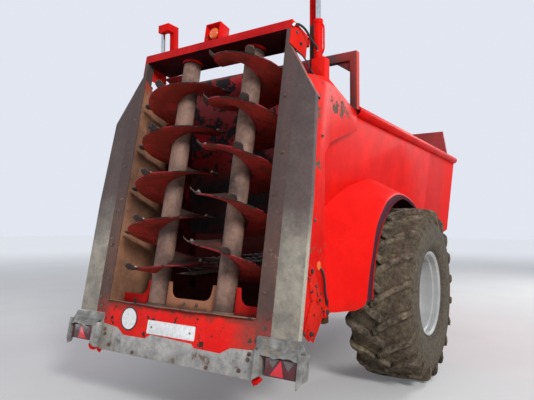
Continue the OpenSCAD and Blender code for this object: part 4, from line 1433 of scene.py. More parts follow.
    def tyre(self) -> Thing:
        """Models the right tyre.

        Returns:
            The tyre.
        """
        parts = [self.carcass(), *self.side_ribs()]
        lug = self.bench.soften(self.lug(), 0.004, 1)
        step = math.tau / self.lugs
        for number in range(self.lugs):
            for half in (0, 1):
                made = self.bench.copy(lug, self.turn((number + half / 2) * step, bool(half)))
                for vertex in made.data.vertices:
                    vertex.co = self.scuffed(vertex.co, half)
                parts.append(made)
        bpy.data.objects.remove(lug)
        return self.bench.join(parts)

    def rim(self) -> Thing:
        """Models the right rim with its disc, hub, cap, nuts and valve.

        Returns:
            The rim.
        """
        bench = self.bench
        parts = [self.ring([*self.rim_outside, *self.rim_inside])]
        cap = bench.rod(self.point(0.094, 0), self.point(0.116, 0), 0.092, 40, 0.066)
        parts.append(bench.soften(cap, 0.006, 3))
        for count, x, radius, size in (
            (self.nuts, 0.061, self.nut_ring, 0.036), (self.cap_bolts, 0.099, 0.115, 0.016),
        ):
            angles = [number * math.tau / count for number in range(count)]
            places = [(self.point(x, radius, angle), Vector((1, 0, 0))) for angle in angles]
            parts += bench.bolts(places, size)
        parts.append(bench.tube([self.point(x, radius, 2.2) for x, radius in self.valve], 0.006))
        return bench.join(parts)

    def build(self) -> None:
        """Builds both wheels."""
        for kind, make, finish in (
            ("tyre", self.tyre, "tyre_rubber"), ("rim", self.rim, "rim_silver"),
        ):
            for side, made in zip(("right", "left"), self.bench.both([make()])):
                node = f"{kind}_{side}"
                self.bench.finish(
                    [made], f"{node}_dressed", finish, replaced=(node,), body=f"wheel_{side}"
                )


@dataclass
class Beaters:
    """The screw flights of the two beaters, with their knives and bolts."""

    bench: Bench
    layout: Layout
    inner: float = 0.0846
    outer: float = 0.360
    pitch: float = 0.410
    turns: float = 4.75
    low: float = 0.273
    thick: float = 0.012
    knife_w: float = 0.084
    foot: float = 0.310
    stiff: float = 0.2
    rim: float = 0.35
    dent: float = 0.006
    wear: float = 0.02

    def blade(self, hand: int, start: float) -> Thing:
        """Winds one flight.

        Args:
            hand: 1 or -1 for its winding.
            start: Angle at which its low end starts, in radians.

        Returns:
            The flight, upright at zero.
        """
        bench = self.bench
        turn = Matrix.Rotation(start, 3, "Z")
        radii = (self.inner, 0.13, 0.2, 0.28, self.outer)
        made = bench.line([turn @ Vector((r, 0, self.low)) for r in radii])
        bench.modify(
            made, "SCREW", axis="Z", angle=hand * math.tau * self.turns,
            screw_offset=self.pitch * self.turns, steps=171, render_steps=171,
        )
        bench.edit(made, "VERT")
        bench.face_outwards()
        if sum(face.normal.z for face in made.data.polygons) < 0:
            made.data.flip_normals()
        for vertex in made.data.vertices:
            reach = vertex.co.xy.length
            share = max(0.0, (reach - self.stiff) / (self.outer - self.stiff))
            wave = noise.noise(vertex.co * 5) * 0.012 * share
            vertex.co.z += max(-self.dent, min(self.dent, wave))
            if reach > self.rim:
                worn = 1 - abs(noise.noise(vertex.co * 9)) * self.wear
                vertex.co.x *= worn
                vertex.co.y *= worn
        bench.thicken(made, self.thick, 1)
        return bench.soften(made, 0.003)

    def bent_knife(self) -> Thing:
        """Models a knife whose end is bent up, with a tooth.

        Returns:
            The knife.
        """
        bench = self.bench
        half = self.knife_w / 2
        made = bench.block((0, -half, 0), (0.052, half, self.thick))
        for move, narrow in (((0.034, 0, 0.022), 0.9), ((0.010, 0, 0.014), 0.55)):
            end = max(vertex.co.x for vertex in made.data.vertices) - 0.02
            bench.shape(
                made, lambda centre, normal: normal.x > 0.5 and centre.x > end,
                move=move, scale=(1, narrow, 1),
            )
        return bench.soften(made, 0.0025)

    def flat_knife(self) -> Thing:
        """Models a straight knife with chamfered corners.

        Returns:
            The knife.
        """
        bench = self.bench
        half = self.knife_w / 2
        made = bench.block((0, -half, 0), (0.080, half, self.thick))
        bench.shape(
            made, lambda centre, normal: normal.x > 0.5, move=(0.020, 0, 0), scale=(1, 0.6, 0.7)
        )
        return bench.soften(made, 0.0025)

    def knives(self, hand: int, start: float, angles: dict[float, bool]) -> tuple[Parts, Parts]:
        """Sets the knives of one flight with their bolts.

        Args:
            hand: The flight's winding.
            start: Its start angle in degrees.
            angles: Angle of each knife of a turn, and whether it is bent.

        Returns:
            The knives and the bolts, upright at zero.
        """
        bench = self.bench
        slope = math.atan(self.pitch / (math.pi * 2 * self.outer))
        masters = {True: self.bent_knife(), False: self.flat_knife()}
        bolt = bench.bolt(0.022)
        knives, bolts = [], []
        for number in range(5):
            for angle, bent in angles.items():
                swept = ((angle - start) * hand) % 360 + 360 * number
                if swept >= 360 * self.turns - 15:
                    continue
                height = self.low + swept / 360 * self.pitch + math.sin(slope) * self.knife_w / 2
                place = (
                    Matrix.Rotation(math.radians(angle), 4, "Z")
                    @ Matrix.Translation((self.foot, 0, height))
                    @ Matrix.Rotation(hand * slope, 4, "X")
                )
                knives.append(bench.copy(masters[bent], place))
                for side in (-0.017, 0.017):
                    move = place @ Matrix.Translation((0.022, side, self.thick))
                    bolts.append(bench.copy(bolt, move))
        for made in (*masters.values(), bolt):
            bpy.data.objects.remove(made)
        return knives, bolts

    def build(self) -> None:
        """Builds both flights and puts them into the leaning plane."""
        bench = self.bench
        for name, side, hand, start, angles in (
            ("right", 1, -1, 90, {-135: True, -60: True, 25: False}),
            ("left", -1, 1, -90, {-90: True, -155: False, 30: False}),
        ):
            place = self.layout.rear_frame(side * self.layout.beater_x, self.layout.beater_off)
            blade = self.blade(hand, math.radians(start))
            knives, bolts = self.knives(hand, start, angles)
            for made in (blade, *knives, *bolts):
                made.data.transform(place)
            for parts, what, finish, slot, replaced in (
                ([blade], "blade", "flight_paint", "red_worn", (f"beater_flight_{name}",)),
                (knives, "knives", "knife_steel", "bare_steel", ()),
                (bolts, "bolts", "bolt_zinc", "bare_steel", ()),
            ):
                bench.finish(
                    parts, f"flight_{name}_{what}", finish, slot, replaced, f"beater_{name}"
                )


@dataclass
class Fenders:
    """The two fenders: a smooth sheet over each wheel with a turned-in lip."""

    bench: Bench
    layout: Layout
    across: int = 10
    along: int = 90
    corner: float = 0.075
    foot_z: float = 0.85
    lip_r: float = 0.985
    sheet: float = 0.005
    inner_x: float = 0.763
    outer_x: float = 1.2
    crease_x: float = 0.95
    back_y: float = 0.704
    corner_fade: float = 0.25
    lip_least: float = 0.045
    stay_shares: tuple[float, ...] = (0.18, 0.5, 0.82)
    stay_drop: float = 0.024
    crease: Curve = (
        (0.704, 0.850), (0.706, 1.000), (0.770, 1.200), (0.905, 1.410), (1.001, 1.566),
        (1.189, 1.745), (1.440, 1.895), (1.660, 1.975), (1.968, 2.045), (2.360, 2.030),
        (2.720, 1.940), (3.080, 1.720), (3.290, 1.440),
    )
    lip: Curve = (
        (1.125, 0.850), (1.140, 0.960), (1.185, 1.140), (1.262, 1.314), (1.325, 1.470),
        (1.406, 1.607), (1.574, 1.754), (1.740, 1.850), (2.017, 1.914), (2.351, 1.895),
        (2.650, 1.808), (2.960, 1.610), (3.140, 1.350),
    )

    @staticmethod
    def smooth(points: Curve, share: float) -> Vector:
        """Reads a smooth curve through points.

        Args:
            points: The points in order.
            share: Place along them from 0 to 1.

        Returns:
            The point on the curve.
        """
        last = len(points) - 1
        number = min(last - 1, int(share * last))
        t = share * last - number
        a, b, c, d = (
            Vector(points[max(0, min(last, number + step))]) for step in (-1, 0, 1, 2)
        )
        return (
            2 * b + (c - a) * t + (2 * a - 5 * b + 4 * c - d) * t * t
            + (3 * b - a - 3 * c + d) * t * t * t
        ) / 2

    def surface(self, x: float, share: float) -> Vector:
        """Gives a point of the sheet's outer face, with a round corner at its foot.

        Args:
            x: Place across.
            share: Place along from 0 to 1.

        Returns:
            The point.
        """
        crease = self.smooth(self.crease, share)
        lip = self.smooth(self.lip, share)
        at = crease + (lip - crease) * (x - self.crease_x) / (self.outer_x - self.crease_x)
        reach = self.corner - min(self.corner, max(0.0, self.outer_x - x))
        lift = self.corner - math.sqrt(self.corner**2 - reach**2)
        if share < 0.5 and at.y < self.foot_z + self.corner_fade:
            at.y += lift * (1 - (at.y - self.foot_z) / self.corner_fade)
        return self.layout.sill(x, max(self.back_y, at.x), at.y)

    def place(self, u: int, v: int) -> Vector:
        """Gives a corner of the sheet, of its rounded edge or of its turned-in lip.

        Args:
            u: Number across the sheet.
            v: Number along it.

        Returns:
            The corner.
        """
        share = v / self.along
        if u <= self.across:
            reach = self.outer_x - 0.012 - self.inner_x
            return self.surface(self.inner_x + reach * u / self.across, share)
        edge = self.surface(self.outer_x, share)
        hub = Vector((self.outer_x, self.layout.axle.y, self.layout.axle.z))
        depth = max(self.lip_least, (hub - edge).length - self.lip_r)
        step, pull = ((0.0035, 0.0035), (0.0, 0.012), (0.0, depth), (0.004, depth + 0.004))[
            u - self.across - 1
        ]
        return edge + (hub - edge).normalized() * pull - Vector((step, 0, 0))

    def build(self) -> None:
        """Builds both fenders."""
        bench = self.bench
        made = bench.skin(self.across + 4, self.along, self.place)
        bench.thicken(made, self.sheet)
        stays = []
        for share in self.stay_shares:
            outer = self.surface(1.150, share)
            inner = self.surface(0.80, share)
            hub = Vector((0, self.layout.axle.y, self.layout.axle.z))
            drop = (hub - Vector((0, inner.y, inner.z))).normalized() * self.stay_drop
            bar = bench.rod(inner + drop, outer + drop, 0.009, 12)
            stays.append(bench.soften(bar, 0.002))
        parts = bench.both([made, *stays])
        half = len(parts) // 2
        for side, (sheet, *bars) in (("right", parts[:half]), ("left", parts[half:])):
            bench.finish(
                [sheet], f"fender_{side}_sheet", "fender_paint", "red_paint",
                (f"fender_{side}",), smooth=50,
            )
            bench.finish(bars, f"fender_{side}_stays", "dark_steel")


@dataclass
class Lights:
    """The two light brackets folded from sheet, their lamps and the amber beacon."""

    bench: Bench
    layout: Layout
    sheet: float = 0.004
    low: float = -0.420
    high: float = -0.112
    mark_off: float = -0.0335
    rib_section: Curve = (
        (-0.003, -0.003), (0.0, 0.001), (0.003, -0.003),
    )
    hook_bar: tuple[Point, ...] = (
        (0.826, 0.020, -0.385), (0.846, -0.020, -0.420), (0.872, -0.038, -0.425),
        (0.905, -0.040, -0.404), (0.912, -0.030, -0.385),
    )
    hook_outline: Curve = (
        (0.806, -0.36), (0.806, -0.43), (0.826, -0.455), (0.858, -0.44), (0.870, -0.40),
        (0.870, -0.36),
    )

    def fold(
        self, across: list[Pair], lows: list[float], highs: list[float],
        rows: int = 4,
    ) -> Thing:
        """Folds a sheet that stands in the rear plane.

        Args:
            across: Place across and off the plane at each fold.
            lows: Height of the sheet's lower edge at each fold.
            highs: Height of its upper edge at each fold.
            rows: Cells up the sheet.

        Returns:
            The folded sheet.
        """

        def place(u: int, v: int) -> Vector:
            """Gives a corner of the sheet."""
            x, off = across[u]
            return self.layout.rear(x, off, lows[u] + (highs[u] - lows[u]) * v / rows)

        made = self.bench.skin(len(across) - 1, rows, place)
        self.bench.thicken(made, self.sheet)
        self.bench.roughen(made, 0.0015, 16)
        return self.bench.soften(made, 0.0012)

    def roof(self) -> Thing:
        """Models the fold over the lamp, with its wavy lower edge.

        Returns:
            The roof.
        """
        steps = 12

        def place(u: int, v: int) -> Vector:
            """Gives a corner of the roof.

            Args:
                u: Number across.
                v: Number down the roof.

            Returns:
                The corner.
            """
            x = 0.862 + (1.196 - 0.862) * u / steps
            wave = 0.006 * math.sin(u * 0.9) + 0.004 * math.sin(u * 2.1)
            off, s = ((0.0, -0.150), (-0.006, -0.176), (-0.045, -0.206), (-0.055, -0.236))[v]
            return self.layout.rear(x, off, s + wave * v / 3)

        made = self.bench.skin(steps, 3, place)
        self.bench.thicken(made, self.sheet, 1)
        return self.bench.soften(made, 0.0012)

    def bracket(self) -> Parts:
        """Models the right bracket: face, roof, cheeks and back.

        Returns:
            Its sheets.
        """
        low, high = self.low, self.high
        face = [(0.822, -0.002), (0.860, -0.002), (1.030, -0.001), (1.198, -0.002), (1.234, -0.004)]
        inner = [(0.822, 0.000), (0.834, -0.042), (0.850, -0.056), (0.893, -0.057), (0.904, -0.012)]
        outer = [(1.191, -0.010), (1.193, -0.054), (1.199, -0.057), (1.233, -0.047), (1.237, 0.036)]
        back = [(0.868, 0.012), (1.226, 0.012)]
        tab = [(0.905, 0.008), (0.905, -0.010)]
        inner_lows = [low + up for up in (0.010, 0.012, 0.014, 0.040, 0.050)]
        outer_lows = [low + up for up in (0.020, 0.002, 0.0, 0.045, 0.066)]
        return [
            self.fold(face, [-0.215] * 5, [high, high, high, high - 0.01, high - 0.078]),
            self.roof(),
            self.fold(inner, inner_lows, [-0.190, -0.196, -0.200, -0.214, -0.214]),
            self.fold(outer, outer_lows, [-0.200, -0.190, -0.185, -0.192, -0.188]),
            self.fold(back, [low + 0.052] * 2, [high - 0.09] * 2),
            self.fold(tab, [low + 0.05] * 2, [-0.22] * 2, 2),
        ]

    def mark(self, *corners: Pair) -> Thing:
        """Models one raised triangular mark on the lens."""
        points = [self.layout.rear(x, self.mark_off, s) for x, s in corners]
        return self.bench.soften(self.bench.plate(points, self.layout.away(0.003)), 0.0008)

    def lamp(self) -> tuple[Parts, Parts, Parts]:
        """Models the right lamp: its lens, the bright mark and the grey marks.

        Returns:
            The parts of each.
        """
        bench = self.bench
        lens = bench.block((0.930, -0.030, -0.365), (1.185, -0.006, -0.235))
        bench.shape(lens, lambda centre, normal: normal.y < -0.5, 0.008, (0, -0.004, 0))
        bench.soften(lens, 0.003, 3)
        base = bench.block((0.936, -0.008, -0.359), (1.179, 0.013, -0.241))
        bench.soften(base, 0.004)
        for made in (lens, base):
            made.data.transform(self.layout.rear_frame())
        bright = [self.mark((0.979, -0.356), (1.087, -0.356), (1.057, -0.250))]
        grey = [
            self.mark((0.952, -0.244), (0.997, -0.307), (1.040, -0.244)),
            self.mark((1.073, -0.246), (1.120, -0.312), (1.163, -0.250)),
        ]
        return [lens, base], bright, grey

    def hook(self) -> Parts:
        """Models the red hook under the inner cheek, with the bar that carries it.

        Returns:
            The bar and the hook.
        """
        bench, layout = self.bench, self.layout
        bar = [layout.rear(*point) for point in self.hook_bar]
        outline = [layout.rear(x, 0.010, s) for x, s in self.hook_outline]
        plate = bench.plate(outline, layout.away(-0.010))
        return [bench.tube(bar, 0.013, 3), bench.soften(plate, 0.002)]

    def beacon(self) -> tuple[Parts, Parts]:
        """Models the amber beacon's ribbed lens and its dark base ring.

        Returns:
            The parts of each.
        """
        centre = self.layout.rear(-0.022, 0.060, 2.497)

        def ring(*section: Pair) -> Thing:
            """Turns a section of radius and distance about the beacon's axis."""
            return self.bench.turned(section, centre, self.layout.away(), 48)

        lens = ring(
            (0.0008, 0.041), (0.020, 0.041), (0.0385, 0.038), (0.050, 0.031), (0.054, 0.022),
            (0.054, 0.004), (0.040, 0.004), (0.0008, 0.004),
        )
        ribs = [
            ring(*((radius + across, top + up) for across, up in self.rib_section))
            for radius, top in ((0.014, 0.0405), (0.026, 0.0395), (0.037, 0.0375))
        ]
        base = ring((0.054, 0.0), (0.060, 0.0), (0.060, 0.012), (0.057, 0.016), (0.054, 0.016))
        return [lens, *ribs], [base]

    def build(self) -> None:
        """Builds both brackets, both lamps and the beacon."""
        bench = self.bench
        lens, bright, grey = self.lamp()
        for parts, name, finish, slot, replaced in (
            (self.bracket(), "light_bracket_sheets", "galvanised", "galvanised", "light_brackets"),
            (lens, "tail_lamp_lenses", "lamp_red", "lamp_red", "tail_lamps"),
            (bright, "tail_lamp_marks", "mark_red", "lamp_red", ""),
            (grey, "tail_lamp_grey_marks", "mark_grey", "lamp_red", ""),
            (self.hook(), "rear_hooks", "red_paint", "red_paint", ""),
        ):
            bench.finish(bench.both(parts), name, finish, slot, (replaced,) if replaced else ())
        glass, base = self.beacon()
        bench.finish(glass, "beacon_ribbed_lens", "lens_amber", replaced=("beacon_lens",))
        bench.finish(base, "beacon_ring", "dark_steel")


@dataclass
class Signs:
    """The blank number plate and the blank disc."""

    bench: Bench
    layout: Layout
    plate_x: float = -0.012
    plate_s: float = -0.170
    length: float = 0.520
    height: float = 0.110
    disc_x: float = -0.501
    disc_s: float = -0.129
    screw_x: float = 0.21

    def outline(self, length: float, height: float, corner: float) -> list[Pair]:
        """Gives a rectangle's outline with round corners.

        Args:
            length: Its length.
            height: Its height.
            corner: Radius of its corners.

        Returns:
            The outline's points.
        """
        points = []
        for number, (sx, sy) in enumerate(((1, 1), (-1, 1), (-1, -1), (1, -1))):
            for step in range(5):
                angle = (number + step / 4) * math.pi / 2
                points.append((
                    sx * (length / 2 - corner) + corner * math.cos(angle),
                    sy * (height / 2 - corner) + corner * math.sin(angle),
                ))
        return points

    def panel(self, length: float, height: float, low: float, high: float) -> Thing:
        """Models a flat sheet with round corners between two distances off the plane.

        Args:
            length: Its length.
            height: Its height.
            low: Distance of its back.
            high: Distance of its face.

        Returns:
            The sheet.
        """
        corners = [
            self.layout.rear(self.plate_x + x, low, self.plate_s + s)
            for x, s in self.outline(length, height, 0.010)
        ]
        return self.bench.plate(corners, self.layout.away(low - high))

    def number_plate(self) -> None:
        """Models the plate with its raised border and two screws."""
        bench, layout = self.bench, self.layout
        back = bench.soften(self.panel(self.length, self.height, 0.0, -0.0022), 0.0005)
        rim = self.outline(self.length - 0.008, self.height - 0.008, 0.009)
        points = [layout.rear(self.plate_x + x, -0.0024, self.plate_s + s) for x, s in rim]
        rail = [
            bench.rod(first, second, 0.0016, 8)
            for first, second in zip(points, points[1:] + points[:1])
        ]
        bench.finish([back, *rail], "number_plate_blank", "plate_white", replaced=("number_plate",))
        places = [
            (layout.rear(self.plate_x + x, -0.002, self.plate_s), layout.away())
            for x in (-self.screw_x, self.screw_x)
        ]
        bench.finish(bench.bolts(places, 0.010), "number_plate_screws", "bolt_zinc", "bare_steel")

    def disc(self) -> None:
        """Models the disc with its dark border."""
        bench = self.bench
        centre = self.layout.rear(self.disc_x, 0, self.disc_s)

        def ring(*section: Pair) -> Thing:
            """Turns a section of radius and distance about the disc's axis."""
            return bench.turned(section, centre, self.layout.away(), 64)

        face = ring((0.0008, 0.0004), (0.0975, 0.0004), (0.0975, 0.0022), (0.0008, 0.0026))
        bench.finish([face], "speed_disc_blank", "plate_white", replaced=("speed_disc",))
        rim = ring((0.088, 0.0002), (0.1, 0.0002), (0.1, 0.003), (0.088, 0.003))
        bench.finish([bench.soften(rim, 0.0005)], "speed_disc_border", "sign_black", "dark_steel")

    def build(self) -> None:
        """Builds both signs."""
        self.number_plate()
        self.disc()


@dataclass
class Fittings:
    """Bolts, hoses, chain links and other small pieces on the machine."""

    bench: Bench
    layout: Layout
    link_pitch: float = 0.058
    link_start: float = 0.90
    link_end: float = 5.44
    link_z: float = 1.2190
    chains: tuple[float, ...] = (-0.56, -0.19, 0.19, 0.56)
    post_bolts: Curve = (
        (0.878, -0.055), (0.850, 0.19), (0.872, 0.50), (0.846, 0.93), (0.880, 1.26),
        (0.856, 1.73), (0.908, 0.02),
    )
    apron_bolts: Curve = (
        (0.775, -0.245), (0.768, -0.285), (0.70, -0.37), (0.40, -0.395),
    )
    cheek_bolts: Curve = ((0.09, 2.335), (0.165, 2.27), (0.13, 2.12))
    side_bolts: Curve = (
        (0.42, 1.247), (0.682, 0.877), (0.491, 0.700), (0.333, 0.765), (0.25, 1.62),
        (0.52, 1.62), (0.36, 2.05), (0.66, 2.32), (0.45, 0.95),
    )
    guard_bolts: tuple[float, ...] = (-0.06, 0.08)
    hose: tuple[Point, ...] = (
        (0.846, 0.440, 3.205), (0.856, 0.485, 3.246), (0.875, 0.600, 3.237),
        (0.902, 0.682, 3.137), (0.925, 0.705, 3.109), (0.930, 0.722, 3.075),
    )
    cable: tuple[Point, ...] = (
        (0.846, 0.433, 3.009), (0.872, 0.520, 3.004), (0.900, 0.604, 2.934),
        (0.950, 0.575, 2.835), (0.996, 0.609, 2.783), (1.004, 0.66, 2.76),
    )
    pipe: Curve = (
        (0.958, 3.05), (0.978, 3.07), (0.976, 3.16), (0.976, 3.25), (0.975, 3.29), (0.958, 3.31),
    )
    crank: Curve = (
        (-0.500, 1.158), (-0.512, 1.158), (-0.516, 1.20), (-0.516, 1.28), (-0.516, 1.33),
        (-0.530, 1.338), (-0.610, 1.338),
    )
    linkage_outline: Curve = (
        (0.370, 1.262), (0.415, 1.285), (0.462, 1.262), (0.600, 1.060), (0.722, 0.925),
        (0.735, 0.862), (0.690, 0.822), (0.610, 0.842), (0.505, 0.702), (0.400, 0.690),
        (0.330, 0.745), (0.345, 0.815), (0.452, 0.985), (0.420, 1.100),
    )
    linkage_pins: tuple[Point, ...] = (
        (0.417, 1.226, 0.034), (0.680, 0.876, 0.040), (0.395, 0.752, 0.036),
        (0.545, 0.990, 0.026),
    )
    linkage_hose: tuple[Point, ...] = (
        (1.010, 0.610, 1.235), (1.030, 0.615, 1.215), (1.034, 0.640, 1.120),
        (1.032, 0.655, 1.020), (1.030, 0.690, 0.960), (1.012, 0.700, 0.925),
    )

    def path(self, points: Iterable[Point]) -> list[Vector]:
        """Gives points whose distance forward is measured from the sill."""
        return [self.layout.sill(*point) for point in points]

    def bolts(self) -> None:
        """Sets the bolts on posts, bumper, apron, guard, cheeks and side plates."""
        rear, sill, out = self.layout.rear, self.layout.sill, self.layout.away()
        places = []
        for side in (-1, 1):
            outwards = Vector((side, 0, 0))
            places += [(rear(side * x, -0.0005, s), out) for x, s in self.post_bolts]
            places += [(rear(side * x, -0.0065, s), out) for x, s in self.apron_bolts]
            places += [(rear(side * 0.843, off, s), outwards) for off, s in self.cheek_bolts]
            places += [(sill(side * 1.006, y, z), outwards) for y, z in self.side_bolts]
        places += [(rear(x, 0.175, 0.045), out) for x in self.guard_bolts]
        self.bench.finish(
            self.bench.bolts(places, 0.019), "frame_bolts", "bolt_rusty", "bare_steel"
        )

    def hoses(self) -> None:
        """Models the hose and the cable at the right cylinder and the barrels' pipes."""
        bench = self.bench
        hose, cable = self.path(self.hose), self.path(self.cable)
        hoses = [bench.tube(hose, 0.010), bench.tube(cable, 0.006)]
        ends = [
            bench.rod(hose[0], hose[0] + Vector((0.012, 0.012, 0.02)), 0.015, 6),
            bench.rod(hose[-1] - Vector((0, -0.012, 0.02)), hose[-1], 0.016, 6),
        ]
        bench.finish(hoses, "hose_and_cable", "hose_rubber", "dark_steel")
        bench.finish(ends, "hose_fittings", "bolt_zinc", "bare_steel")
        barrel_y = 0.750
        pipe = bench.tube(self.path((x, barrel_y, z) for x, z in self.pipe), 0.008)
        low, high = self.path([(0.923, barrel_y, 3.312), (0.923, barrel_y, 3.3495)])
        gland = bench.soften(bench.rod(low, high, 0.0415, 32), 0.003)
        bench.finish(bench.both([pipe, gland]), "cylinder_pipes", "barrel_paint", "red_paint")

    def reflectors(self) -> None:
        """Models the amber side reflectors on the side plates."""
        bench = self.bench
        start, end = self.path([(1.0055, 0.581, 1.256), (1.0145, 0.581, 1.256)])
        glass = bench.rod(start, end, 0.036, 32)
        bench.shape(glass, lambda centre, normal: normal.x > 0.5, 0.006, (0.003, 0, 0))
        bench.finish(bench.both([bench.soften(glass, 0.0015)]), "side_reflectors", "lens_amber")

    def links(self) -> None:
        """Lays the conveyor's chain links, worn bright, along its upper run."""
        bench = self.bench
        bench.clear()
        bpy.ops.mesh.primitive_torus_add(
            major_segments=12, minor_segments=6, major_radius=0.019, minor_radius=0.0065
        )
        link = bench.take()
        for vertex in link.data.vertices:
            if vertex.co.y > 0.001:
                vertex.co.y += 0.020
        parts = []
        count = int((self.link_end - self.link_start) / self.link_pitch)
        for x in self.chains:
            for number in range(count):
                tilt = Matrix.Rotation(math.radians(45 if number % 2 else -45), 4, "Y")
                at = self.layout.sill(x, self.link_start + number * self.link_pitch, self.link_z)
                parts.append(bench.copy(link, Matrix.Translation(at) @ tilt))
        bpy.data.objects.remove(link)
        bench.finish(parts, "conveyor_links", "chain_steel", "dark_steel")

    def jack_crank(self) -> None:
        """Models the jack's head, crank arm and grip above its sleeve."""
        bench, sill = self.bench, self.layout.sill
        jack_y = 6.55
        head = bench.block(sill(-0.445, 6.505, 1.128), sill(-0.355, 6.595, 1.185))
        shaft = bench.rod(sill(-0.445, jack_y, 1.158), sill(-0.500, jack_y, 1.158), 0.012)
        arm = bench.tube([sill(x, jack_y, z) for x, z in self.crank], 0.009)
        grip = bench.rod(sill(-0.540, jack_y, 1.338), sill(-0.625, jack_y, 1.338), 0.016)
        bench.finish([bench.soften(head, 0.008), shaft, arm], "jack_crank", "galvanised")
        bench.finish([bench.soften(grip, 0.004)], "jack_grip", "dark_steel")

    def linkage(self) -> None:
        """Models the cranked plates low on both sides, with their pins and hose."""
        bench, sill = self.bench, self.layout.sill
        corners = [sill(1.0062, y, z) for y, z in self.linkage_outline]
        plates = [bench.soften(bench.plate(corners, Vector((0.012, 0, 0))), 0.004)]
        pins = []
        for y, z, radius in self.linkage_pins:
            boss = bench.rod(sill(1.012, y, z), sill(1.034, y, z), radius, 28)
            plates.append(bench.soften(boss, 0.004))
            pin = bench.rod(sill(1.020, y, z), sill(1.046, y, z), radius * 0.55, 20)
            pins.append(bench.soften(pin, 0.003))
        hose = bench.tube(self.path(self.linkage_hose), 0.010)
        bench.finish(bench.both(plates), "linkage_plates", "linkage_paint", "red_paint")
        bench.finish(bench.both(pins), "linkage_pins", "dark_steel")
        bench.finish(bench.both([hose]), "linkage_hoses", "hose_rubber", "dark_steel")

    def deck_lip(self) -> None:
        """Models the deck's worn, slightly bent lip."""
        rows = ((-0.020, 0.004), (-0.016, 0.0085), (0.0, 0.0095), (0.020, 0.006))

        def place(u: int, v: int) -> Vector:
            """Gives a corner of the lip.

            Args:
                u: Number across.
                v: Number from the free edge.

            Returns:
                The corner.
            """
            x = -0.795 + 1.59 * u / 60
            off, s = rows[v]
            sag = -0.009 * math.exp(-((x - 0.2) / 0.34) ** 2)
            wave = 0.0035 * math.sin(x * 6.1) + 0.002 * math.sin(x * 17 + 1)
            out = 0.012 * math.exp(-((x - 0.1) / 0.4) ** 2)
            free = 1 - v / 3
            return self.layout.rear(x, off - out * free, s + (sag + wave) * free)

        made = self.bench.skin(60, 3, place)
        self.bench.thicken(made, 0.006)
        self.bench.soften(made, 0.0015)
        self.bench.finish([made], "deck_lip", "lip_steel", "bare_steel")

    def wing_tops(self) -> None:
        """Models the bent flange along each wing's sloping upper edge."""
        low, high = Vector((1.112, 1.722)), Vector((0.846, 2.172))

        def place(u: int, v: int) -> Vector:
            """Gives a corner of the flange.

            Args:
                u: Number across the flange.
                v: Number up it.

            Returns:
                The corner.
            """
            at = low.lerp(high, v / 12)
            off, drop = ((0.006, 0.0), (0.040, 0.002), (0.105, 0.006), (0.108, 0.024))[u]
            dent = 0.0015 * math.sin(v * 1.7)
            return self.layout.rear(at.x - drop * 0.6, off, at.y - drop + dent)

        made = self.bench.skin(3, 12, place)
        self.bench.thicken(made, 0.004, 0)
        parts = self.bench.both([self.bench.soften(made, 0.001)])
        self.bench.finish(parts, "wing_top_flanges", "flange_brown", "bare_steel")

    def front_ribs(self) -> None:
        """Models the folded ribs of the hopper's front wall and the gearbox's bolts."""
        bench, sill = self.bench, self.layout.sill
        parts = []
        for z, half in ((1.50, 0.80), (2.05, 0.84), (2.60, 0.88)):
            rib = bench.block(sill(-half, 5.6055, z - 0.035), sill(half, 5.640, z + 0.035))
            bench.shape(rib, lambda centre, normal: normal.y > 0.5, scale=(0.98, 1, 0.5))
            parts.append(bench.soften(rib, 0.005))
        bench.finish(parts, "front_ribs", "front_paint", "red_paint")
        forward = Vector((0, 1, 0))
        places = [(sill(x, 5.8495, z), forward) for x in (-0.09, 0.09) for z in (0.635, 0.805)]
        bench.finish(bench.bolts(places, 0.02), "gearbox_bolts", "bolt_zinc", "bare_steel")

    def build(self) -> None:
        """Builds all small pieces."""
        self.linkage()
        self.deck_lip()
        self.wing_tops()
        self.front_ribs()
        self.bolts()
        self.hoses()
        self.reflectors()
        self.links()
        self.jack_crank()


@dataclass
class Dressing:
    """Gives each node that stays its finish, rounded edges and smooth shading."""

    nodes: dict[str, Thing]
    finishes: dict[str, Material]
    slots: dict[str, str]
    weld: float = 0.00005
    flat_angle: float = math.radians(0.5)
    round_edges: float = 0.0025
    round_angle: float = math.radians(40)
    split_angle: float = math.radians(35)

    def dress(self, name: str) -> None:
        """Dresses one node.

        Args:
            name: The node.
        """
        made = self.nodes[name]
        slot = self.slots[name]
        kind = name.removesuffix("_left").removesuffix("_right")
        finish = NODE_FINISHES.get(kind, slot)
        made.data.materials.clear()
        made.data.materials.append(self.finishes[finish])
        for face in made.data.polygons:
            face.use_smooth = True
        weld = made.modifiers.new("weld", "WELD")
        weld.merge_threshold = self.weld
        flat = made.modifiers.new("flat", "DECIMATE")
        flat.decimate_type = "DISSOLVE"
        flat.angle_limit = self.flat_angle
        soft = made.modifiers.new("soft", "BEVEL")
        soft.width = self.round_edges
        soft.segments = 2
        soft.limit_method = "ANGLE"
        soft.angle_limit = self.round_angle
        split = made.modifiers.new("split", "EDGE_SPLIT")
        split.split_angle = self.split_angle
        log.info("dressed %s with %s", name, finish)


